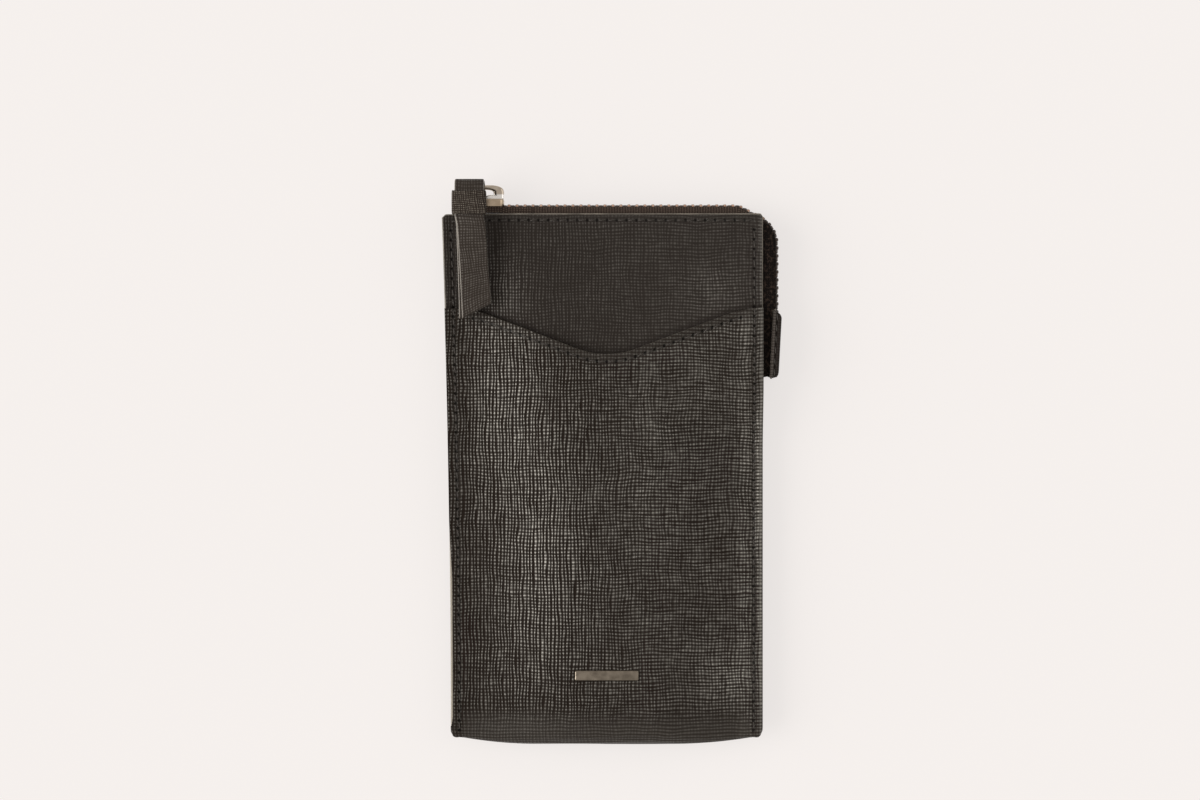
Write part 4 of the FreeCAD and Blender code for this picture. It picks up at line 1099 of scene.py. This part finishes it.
def needle_holes(tree, seam):
    """One in the needle holes: at each whole number of the stitch count, on the sewing line."""
    count = add(tree, "Attribute", out="Fac", attribute_name="stitch")
    swing = add(tree, "Math", {0: count, 1: 2 * math.pi}, operation="MULTIPLY")
    swing = add(tree, "Math", {0: swing}, operation="COSINE")
    hole = add(
        tree, "MapRange", {"Value": swing, "From Min": 0.5, "To Max": 0.8},
        interpolation_type="SMOOTHSTEP",
    )
    near = add(
        tree, "MapRange", {"Value": seam, "From Min": 0.45, "From Max": 0.85},
        interpolation_type="SMOOTHSTEP",
    )
    return add(tree, "Math", {0: hole, 1: near}, operation="MULTIPLY")


def embossed_leather(name, deep, high, depth, pitch=1.08, gloss=0.42):
    """Calf leather, coated and plate-embossed with a crossed grain: rows of small pillows that wander a
    little, parted by dark grooves. The pillows' tops are coloured as bright dots, a painted highlight of
    the side light, strongest where the painted light attribute is high, and where it falls below nought it
    is a painted shade. The grain is worn flat in patches, at the fold and beside the sewing, where the
    needle holes are dark."""
    made, tree = material(name)
    place = add(tree, "UVMap", uv_map="cut")
    seam = add(tree, "Attribute", out="Fac", attribute_name="seam")
    fold = add(tree, "Attribute", out="Fac", attribute_name="fold")
    # This attribute is painted light: a painted highlight on the grain, and a painted shade where it is
    # below nought
    rubbed = add(tree, "Attribute", out="Fac", attribute_name="rubbed")
    # Patches of about 9 mm, the sewing and the fold are pressed flatter
    worn = add(
        tree, "TexNoise",
        {"Vector": place, "Scale": 1 / 9, "Detail": 4.0, "Roughness": 0.65}, "Fac",
    )
    worn = add(
        tree, "MapRange",
        {"Value": worn, "From Min": 0.3, "From Max": 0.7, "To Min": 0.82, "To Max": 1.0},
    )
    pressed = add(tree, "Math", {0: seam, 1: 0.45}, operation="MULTIPLY")
    flat = add(tree, "Math", {0: pressed, 1: fold}, operation="MAXIMUM")
    calm = add(tree, "Math", {0: flat, 1: -0.45, 2: 1.0}, operation="MULTIPLY_ADD")
    strength = add(tree, "Math", {0: worn, 1: calm}, operation="MULTIPLY")
    lines = grain_lines(tree, place, pitch)
    pillow = grain_pillows(tree, place, strength, lines)
    # The pillows' tops get a painted glint, uneven, a few of them at a time, scaled by the painted
    # highlight
    glint = add(tree, "TexNoise", {"Vector": place, "Scale": 1 / 1.5, "Detail": 1.0}, "Fac")
    glint = add(
        tree, "MapRange",
        {"Value": glint, "From Min": 0.3, "From Max": 0.7, "To Min": 0.6, "To Max": 1.25},
    )
    shine = add(tree, "MapRange", {"Value": rubbed, "From Max": 2.0, "To Min": 0.2, "To Max": 1.8})
    shine = add(tree, "Math", {0: shine, 1: glint}, operation="MULTIPLY")
    tone = add(tree, "Math", {0: pillow, 1: 3.0}, operation="POWER")
    tone = add(tree, "Math", {0: tone, 1: shine}, operation="MULTIPLY")
    # Where it is pressed flat, only faint level ridges are left, their tone also raised by the painted
    # highlight
    plain = add(tree, "Math", {0: rubbed, 1: 0.13, 2: 0.05}, operation="MULTIPLY_ADD")
    plain = add(tree, "Math", {0: flat, 1: plain}, operation="MULTIPLY")
    ridge = add(tree, "MapRange", {"Value": lines[1], "To Min": 0.5, "To Max": 1.4})
    plain = add(tree, "Math", {0: plain, 1: ridge}, operation="MULTIPLY")
    tone = add(tree, "Math", {0: tone, 1: plain}, operation="ADD")
    pore = add(tree, "TexNoise", {"Vector": place, "Scale": 1 / 0.45, "Detail": 2.0}, "Fac")
    height = add(tree, "Math", {0: pore, 1: 0.25, 2: pillow}, operation="MULTIPLY_ADD")
    hole = needle_holes(tree, seam)
    height = add(tree, "Math", {0: hole, 1: -1.6, 2: height}, operation="MULTIPLY_ADD")
    colour = add(tree, "ValToRGB", {0: tone}, stops=[(0.0, deep), (1.0, high)])
    colour = add(tree, "Mix", {"Factor": hole, "A": colour, "B": linear("#060504")}, 2, data_type="RGBA")
    rough = add(tree, "MapRange", {"Value": strength, "To Min": gloss - 0.06, "To Max": gloss + 0.08})
    sheen = add(tree, "MapRange", {"Value": tone, "From Max": 0.6, "To Min": 0.02, "To Max": 0.5})
    bump = add(tree, "Bump", {"Height": height, "Strength": 1.0, "Distance": depth * MM})
    shader = add(tree, "BsdfPrincipled", {
        "Base Color": colour, "Roughness": rough, "Specular IOR Level": sheen, "Normal": bump,
    })
    add(tree, "OutputMaterial", {"Surface": shader})
    return made


def painted_edge(name, low, high, gloss):
    """Cut leather edge, sealed with edge paint and burnished: a soft shine with slow brightness changes
    along it and faint fibres. Low on the far left side the paint is mixed pale, a painted highlight of the
    side light on that edge."""
    made, tree = material(name)
    place = add(tree, "TexCoord", out="Object")
    slow = add(tree, "TexNoise", {"Vector": place, "Scale": 1 / (5 * MM), "Detail": 3.0}, "Fac")
    fibre = add(tree, "TexNoise", {"Vector": place, "Scale": 1 / (0.5 * MM), "Detail": 2.0}, "Fac")
    across = add(tree, "SeparateXYZ", {0: place}, "X")
    up = add(tree, "SeparateXYZ", {0: place}, "Y")
    # Painted highlight: low on the far left, where the side light catches the edge, the paint is mixed
    # towards pale
    left = add(tree, "MapRange", {"Value": across, "From Min": -49 * MM, "From Max": -52 * MM})
    low_down = add(tree, "MapRange", {"Value": up, "From Min": -8 * MM, "From Max": -34 * MM})
    pale = add(tree, "Math", {0: left, 1: low_down}, operation="MULTIPLY")
    paint = add(tree, "ValToRGB", {0: slow}, stops=[(0.3, low), (0.7, high)])
    paint = add(tree, "Mix", {"Factor": pale, "A": paint, "B": linear("#8f897e")}, 2, data_type="RGBA")
    rough = add(tree, "MapRange", {"Value": slow, "To Min": gloss, "To Max": gloss + 0.2})
    bump = add(tree, "Bump", {"Height": fibre, "Strength": 0.5, "Distance": 0.08 * MM})
    shader = add(tree, "BsdfPrincipled", {"Base Color": paint, "Roughness": rough, "Normal": bump})
    add(tree, "OutputMaterial", {"Surface": shader})
    return made


def waxed_thread():
    """Black waxed polyester thread, twisted: a dull shine broken by fine slanting plies."""
    made, tree = material("waxed_polyester_thread")
    place = add(tree, "TexCoord", out="Object")
    slant = add(tree, "Mapping", {"Vector": place, "Rotation": (0.0, 0.0, 0.7)})
    ply = add(tree, "TexWave", {"Vector": slant, "Scale": wave_scale(0.4 * MM)}, "Fac")
    colour = add(tree, "ValToRGB", {0: ply}, stops=[(0.0, "#1d1916"), (1.0, "#3f3933")])
    bump = add(tree, "Bump", {"Height": ply, "Strength": 0.6, "Distance": 0.06 * MM})
    shader = add(tree, "BsdfPrincipled", {"Base Color": colour, "Roughness": 0.55, "Normal": bump})
    add(tree, "OutputMaterial", {"Surface": shader})
    return made


def woven_tape():
    """Black woven polyester zip tape: a fine herring of warp ribs that reads as soft lines, with worn
    specks. The ribs are drawn a little coarser than real ones so that they show. Along the top, where the
    slider runs, the tape is mixed to a lighter brown, a painted highlight where the light falls, and down
    the shaded side it stays black."""
    made, tree = material("woven_polyester_tape")
    place = add(tree, "UVMap", uv_map="cut")
    warp = add(tree, "TexWave", {"Vector": place, "Scale": wave_scale(0.7)}, "Fac", bands_direction="Y")
    weft = add(
        tree, "TexWave",
        {"Vector": place, "Scale": wave_scale(0.9), "Distortion": 1.5, "Detail Scale": 2.0}, "Fac",
        bands_direction="X",
    )
    weave = add(tree, "Math", {0: warp, 1: weft}, operation="MULTIPLY")
    up = add(tree, "SeparateXYZ", {0: add(tree, "TexCoord", out="Object")}, "Y")
    top = add(tree, "MapRange", {"Value": up, "From Min": 86 * MM, "From Max": 89 * MM})
    fluff = add(tree, "TexNoise", {"Vector": place, "Scale": 0.9, "Detail": 3.0}, "Fac")
    worn = add(tree, "MapRange", {"Value": fluff, "From Min": 0.5, "From Max": 0.75})
    black = add(tree, "ValToRGB", {0: weave}, stops=[(0.0, "#060302"), (1.0, "#1a130f")])
    black = add(tree, "Mix", {"Factor": worn, "A": black, "B": linear("#3a2f28")}, 2, data_type="RGBA")
    # Painted highlight: along the top the tape is mixed to a lighter brown where the light falls
    brown = add(tree, "ValToRGB", {0: weave}, stops=[(0.0, "#2a221d"), (1.0, "#5d5149")])
    colour = add(tree, "Mix", {"Factor": top, "A": black, "B": brown}, 2, data_type="RGBA")
    bump = add(tree, "Bump", {"Height": weave, "Strength": 0.8, "Distance": 0.12 * MM})
    shader = add(tree, "BsdfPrincipled", {
        "Base Color": colour, "Roughness": 0.75, "Specular IOR Level": 0.1, "Normal": bump,
    })
    add(tree, "OutputMaterial", {"Surface": shader})
    return made


def twill_lining():
    """Charcoal polyester twill lining: matt, with fine diagonal ribs."""
    made, tree = material("polyester_twill_lining")
    place = add(tree, "UVMap", uv_map="cut")
    slant = add(tree, "Mapping", {"Vector": place, "Rotation": (0.0, 0.0, 0.9)})
    rib = add(tree, "TexWave", {"Vector": slant, "Scale": wave_scale(0.6)}, "Fac")
    colour = add(tree, "ValToRGB", {0: rib}, stops=[(0.0, "#1d1b1a"), (1.0, "#35322f")])
    bump = add(tree, "Bump", {"Height": rib, "Strength": 0.5, "Distance": 0.08 * MM})
    shader = add(tree, "BsdfPrincipled", {"Base Color": colour, "Roughness": 0.85, "Normal": bump})
    add(tree, "OutputMaterial", {"Surface": shader})
    return made


def plated_metal(name, low, high, gloss, grit, depth, band=None):
    """Plated metal, barrel-polished: mirror-like with a faint orange-peel and cloudy gloss.
    Below the height of the band it is mixed to near white, a painted reflection."""
    made, tree = material(name)
    place = add(tree, "TexCoord", out="Object")
    cloud = add(tree, "TexNoise", {"Vector": place, "Scale": 1 / (grit * 5 * MM), "Detail": 3.0}, "Fac")
    peel = add(tree, "TexNoise", {"Vector": place, "Scale": 1 / (grit * MM), "Detail": 2.0}, "Fac")
    colour = add(tree, "ValToRGB", {0: cloud}, stops=[(0.3, low), (0.7, high)])
    # Painted reflection: below the band's height the colour is mixed to near white
    if band:
        up = add(tree, "SeparateXYZ", {0: place}, "Y")
        rubbed = add(
            tree, "MapRange",
            {"Value": up, "From Min": (band + 0.25) * MM, "From Max": (band - 0.25) * MM},
        )
        colour = add(
            tree, "Mix", {"Factor": rubbed, "A": colour, "B": linear("#fbfaf7")}, 2,
            data_type="RGBA",
        )
    rough = add(tree, "MapRange", {"Value": cloud, "To Min": gloss - 0.06, "To Max": gloss + 0.1})
    bump = add(tree, "Bump", {"Height": peel, "Strength": 0.5, "Distance": depth * MM})
    shader = add(tree, "BsdfPrincipled", {
        "Base Color": colour, "Metallic": 1.0, "Roughness": rough, "Normal": bump,
    })
    add(tree, "OutputMaterial", {"Surface": shader})
    return made


def moulded_teeth(name, low, high):
    """Brown-black acetal zip teeth, moulded: smooth and glossy with a faint mould texture. The
    heads of the row behind are paler along the top, for the light that comes up through the zip
    from the floor."""
    made, tree = material(name)
    place = add(tree, "TexCoord", out="Object")
    cloud = add(tree, "TexNoise", {"Vector": place, "Scale": 1 / (1.2 * MM), "Detail": 2.0}, "Fac")
    up = add(tree, "SeparateXYZ", {0: place}, "Y")
    top = add(tree, "MapRange", {"Value": up, "From Min": 86 * MM, "From Max": 89 * MM})
    normal = add(tree, "NewGeometry", out="Normal")
    facing = add(tree, "SeparateXYZ", {0: normal}, "Z")
    head = add(tree, "MapRange", {"Value": facing, "From Min": 0.3, "From Max": 0.8})
    top = add(tree, "Math", {0: top, 1: head}, operation="MULTIPLY")
    dark = add(tree, "ValToRGB", {0: cloud}, stops=[(0.3, "#2c211a"), (0.7, "#4d3c31")])
    pale = add(tree, "ValToRGB", {0: cloud}, stops=[(0.3, low), (0.7, high)])
    colour = add(tree, "Mix", {"Factor": top, "A": dark, "B": pale}, 2, data_type="RGBA")
    bump = add(tree, "Bump", {"Height": cloud, "Strength": 0.3, "Distance": 0.05 * MM})
    shader = add(tree, "BsdfPrincipled", {"Base Color": colour, "Roughness": 0.3, "Normal": bump})
    add(tree, "OutputMaterial", {"Surface": shader})
    return made


def pale_floor():
    """Matt warm-white studio sweep. The eye and mirrors see it lit to an even pale level, and
    the diffuse share carries the soft shadow."""
    made, tree = material("matt_studio_sweep")
    place = add(tree, "TexCoord", out="Object")
    cloud = add(tree, "TexNoise", {"Vector": place, "Scale": 4.0, "Detail": 1.0}, "Fac")
    colour = add(tree, "ValToRGB", {0: cloud}, stops=[(0.0, "#e9e4e1"), (1.0, "#ebe6e3")])
    matt = add(
        tree, "BsdfPrincipled", {"Base Color": colour, "Roughness": 0.9, "Specular IOR Level": 0.1},
    )
    even = add(tree, "Emission", {"Color": linear("#f6f2f0")})
    seen = add(tree, "LightPath", out="Is Camera Ray")
    for ray in ("Is Glossy Ray", "Is Transmission Ray"):
        other = add(tree, "LightPath", out=ray)
        seen = add(tree, "Math", {0: seen, 1: other}, operation="MAXIMUM")
    share = add(tree, "Math", {0: seen, 1: 0.78}, operation="MULTIPLY")
    mixed = add(tree, "MixShader", {0: share, 1: matt, 2: even})
    add(tree, "OutputMaterial", {"Surface": mixed})
    return made


pocket_leather = embossed_leather("embossed_calf_pocket", "#1f1915", "#b0aea6", 0.3, gloss=0.4)
panel_leather = embossed_leather("embossed_calf_panel", "#2b2724", "#73706a", 0.16, pitch=1.05)
strap_leather = embossed_leather("embossed_calf_strap", "#332e2a", "#6b665f", 0.08, pitch=0.85)
tab_leather = embossed_leather("embossed_calf_tab", "#191411", "#746d66", 0.06, pitch=0.85, gloss=0.34)
keeper_leather = embossed_leather("embossed_calf_keeper", "#2b2520", "#9c9387", 0.4, pitch=0.6)
pocket_edge_paint = painted_edge("painted_pocket_edge", "#3a342e", "#5c554d", 0.4)
edge_paint = painted_edge("painted_leather_edge", "#504b44", "#7d776d", 0.3)
strap_edge_paint = painted_edge("painted_strap_edge", "#57524b", "#837d74", 0.3)
thread = waxed_thread()
tape_weave = woven_tape()
lining_weave = twill_lining()
# The nickels are tinted warm, the plate most, a painted reflection of the brown leather around them; the
# arch also gets the painted near-white reflection at its foot
plate_nickel = plated_metal("polished_nickel_plate", "#ab9a84", "#c8b8a2", 0.2, 0.8, 0.02)
arch_nickel = plated_metal("polished_nickel_arch", "#b4a898", "#d5cbbd", 0.18, 0.8, 0.02, band=ARCH_FOOT_Y)
badge_nickel = plated_metal("satin_nickel_badge", "#746c61", "#978e81", 0.3, 0.5, 0.03)
dark_steel = plated_metal("blackened_steel_stop", "#2b2927", "#474441", 0.35, 0.6, 0.03)
front_acetal = moulded_teeth("moulded_acetal_teeth", "#2c211a", "#4d3c31")
back_acetal = moulded_teeth("moulded_acetal_teeth_behind", "#c69c82", "#ecc8b0")


# Leather and lining

sheet = wrap_points()
x, y = sheet[..., 0], sheet[..., 1]
wrap = surface("wrap_leather", sheet, flat_cut(sheet, FRONT_ROWS - 1))
turned = 0.8 * smooth((-76 - y) / 9) * np.where(np.abs(x) > LAND_X, 0.4, 1)
# The pocket's grain gets painted light, a painted highlight where the side light falls
add_wear(
    wrap,
    seam=seam_mask(x, y, True),
    fold=np.maximum(turned, hem(x, y, True)),
    stitch=seam_count(x, y, True),
    rubbed=rubbed_pocket(x, y),
)
finish(wrap, pocket_leather, pocket_edge_paint)
thicken(wrap, LEATHER, edge_slot=1)
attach(wrap, "pouch")
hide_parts("outer_wrap")

sheet = panel_points()
x, y = sheet[..., 0], sheet[..., 1]
panel = surface("panel_leather", sheet, flat_cut(sheet, 0))
# The panel's grain gets painted light, with painted shade in the crease over the pocket's lip
add_wear(
    panel,
    seam=seam_mask(x, y, False),
    fold=hem(x, y, False),
    stitch=seam_count(x, y, False),
    rubbed=rubbed_panel(x, y),
)
finish(panel, panel_leather, edge_paint)
# Low down the panel's outermost strip takes the edge paint, which carries the painted highlight on the far
# left
painted = np.zeros((sheet.shape[0] - 1, sheet.shape[1] - 1), dtype=np.int32)
painted[:, 0] = y[:-1, 0] < -10
panel.data.polygons.foreach_set("material_index", painted.ravel())
thicken(panel, LEATHER, edge_slot=1)
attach(panel, "pouch")
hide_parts("front_panel")

sheet = lining_points()
lining = surface("lining_cloth", sheet, flat_cut(sheet, 0))
finish(lining, lining_weave)
thicken(lining, LINING)
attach(lining, "pouch")
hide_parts("lining_bag")


# Zip: each half has its tape, its row of teeth and its top stop

for half, side, lead, stand, acetal in (
    ("front", 1, 0.5, 0.0, front_acetal),
    ("back", -1, 1.0, BACK_ROW_STAND, back_acetal),
):
    points, cut = tape_points(side)
    tape = surface("tape_" + half, points, cut, ring=True, capped=True)
    finish(tape, tape_weave)
    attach(tape, "pouch")
    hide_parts("zipper_tape_" + half)
    teeth = add_teeth("teeth_" + half, side, lead, stand)
    finish(teeth, acetal)
    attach(teeth, "pouch")
    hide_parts("zipper_teeth_" + half)
    ease_node("zipper_top_stop_" + half, 0.2, dark_steel)
ease_node("zipper_bottom_stop", 0.2, dark_steel)

points, cut = tab_points()
tab = surface("tab_leather", points, cut)
# The tab gets painted light: a painted highlight on the strip beside its groove, painted shade in the
# groove
add_wear(
    tab,
    seam=np.zeros(points.shape[:2]),
    fold=np.full(points.shape[:2], 1.4),
    rubbed=rubbed_tab(points[..., 0], points[..., 1]),
)
finish(tab, tab_leather, edge_paint)
thicken(tab, TAB_LEATHER, edge_slot=1)
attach(tab, "pouch")
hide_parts("zipper_end_tab")


# Sewing

side_y = row_places(SIDE_ROW)
left_x = left_edge(side_y) + SIDE_STITCH_INSET
right_x = np.full_like(side_y, HALF_WIDTH - SIDE_STITCH_INSET)
top_x = row_places(TOP_ROW)
top_y = np.full_like(top_x, row_line(top_x, False))
pocket_x = row_places(POCKET_ROW)
pocket_y = row_line(pocket_x, True)
pocket_slope = pocket_edge(pocket_x + 0.5) - pocket_edge(pocket_x - 0.5)
tab_y = row_places(TAB_ROW)
tab_x = TAB_SEAM_X + tab_lean(tab_y)
for node, row in (
    ("stitching_left", stitch_row("thread_left", left_x, side_y, 0, 1, outer_face)),
    ("stitching_right", stitch_row("thread_right", right_x, side_y, 0, 1, outer_face)),
    ("stitching_top", stitch_row("thread_top", top_x, top_y, 1, 0, panel_face)),
    ("stitching_pocket", stitch_row("thread_pocket", pocket_x, pocket_y, 1, pocket_slope, pocket_face)),
    ("end_tab_stitching", stitch_row("thread_tab", tab_x, tab_y, TAB_LEAN / TAB_LENGTH, 1, tab_face)),
):
    finish(row, thread)
    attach(row, "pouch")
    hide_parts(node)


# Slider, pull and badge

ease_node("slider_body", 0.35, plate_nickel)
points, cut = bridge_points()
bridge = surface("slider_arch", points, cut, ring=True, loop=True)
finish(bridge, arch_nickel)
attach(bridge, "slider")
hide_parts("slider_bridge")

points, cut = strap_points()
strap = surface("strap_leather_strip", points, cut, ring=True, capped=True)
# The strap's grain gets a painted highlight, weaker from the bend up round the loop
add_wear(
    strap,
    seam=np.zeros(points.shape[:2]),
    rubbed=0.6 - 0.4 * smooth((points[..., 1] - BEND_Y + 1) / 2),
)
finish(strap, strap_leather, strap_edge_paint)
edge = np.cos(full_turn(STRAP_SIDES) + np.pi / STRAP_SIDES)
paint_columns(strap, (edge < -0.45) | (edge > 0.9), 1)
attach(strap, "pull")
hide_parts("pull_strap")

points, cut = keeper_points()
keeper = surface("keeper_leather_band", points, cut, ring=True, loop=True)
# The keeper's grain gets an even painted highlight
add_wear(keeper, seam=np.zeros(points.shape[:2]), rubbed=np.full(points.shape[:2], 0.6))
finish(keeper, keeper_leather)
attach(keeper, "pull")
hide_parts("pull_keeper")

ease_node("badge_bar", 0.3, badge_nickel)
ease_node("badge_backplate", 0.08, badge_nickel)


# Floor, light and camera

grid = np.linspace(-FLOOR_HALF, FLOOR_HALF, 3)
floor_x, floor_y = np.meshgrid(grid, grid[::-1])
floor_points = stacked(floor_x, floor_y, FLOOR_Z)
floor = surface("studio_floor", floor_points, floor_points[..., :2])
finish(floor, pale_floor())


def add_sun(name, azimuth, height, power, spread):
    """Soft distant lamp, at a compass angle from +X and a height over the floor in degrees."""
    lamp = bpy.data.lights.new(name, "SUN")
    lamp.energy = power
    lamp.angle = math.radians(spread)
    lamp.color = (1.0, 0.97, 0.94)
    holder = bpy.data.objects.new(name, lamp)
    holder.rotation_euler = (0, math.radians(90 - height), math.radians(azimuth))
    bpy.context.scene.collection.objects.link(holder)


add_sun("left_softbox", 184, 30, 2.8, 56)
add_sun("right_fill", 20, 35, 0.3, 40)

world = bpy.data.worlds.new("studio")
bpy.context.scene.world = world
world.use_nodes = True
sky = world.node_tree.nodes["Background"]
sky.inputs["Color"].default_value = linear("#fff8f2")
sky.inputs["Strength"].default_value = 0.6

lens = bpy.data.cameras.new("camera")
lens.lens = 85
lens.sensor_width = 36
lens.clip_end = 10
camera = bpy.data.objects.new("camera", lens)
camera.location = CAMERA_PLACE
bpy.context.scene.collection.objects.link(camera)
bpy.context.scene.camera = camera
bpy.context.scene.view_settings.view_transform = "Standard"
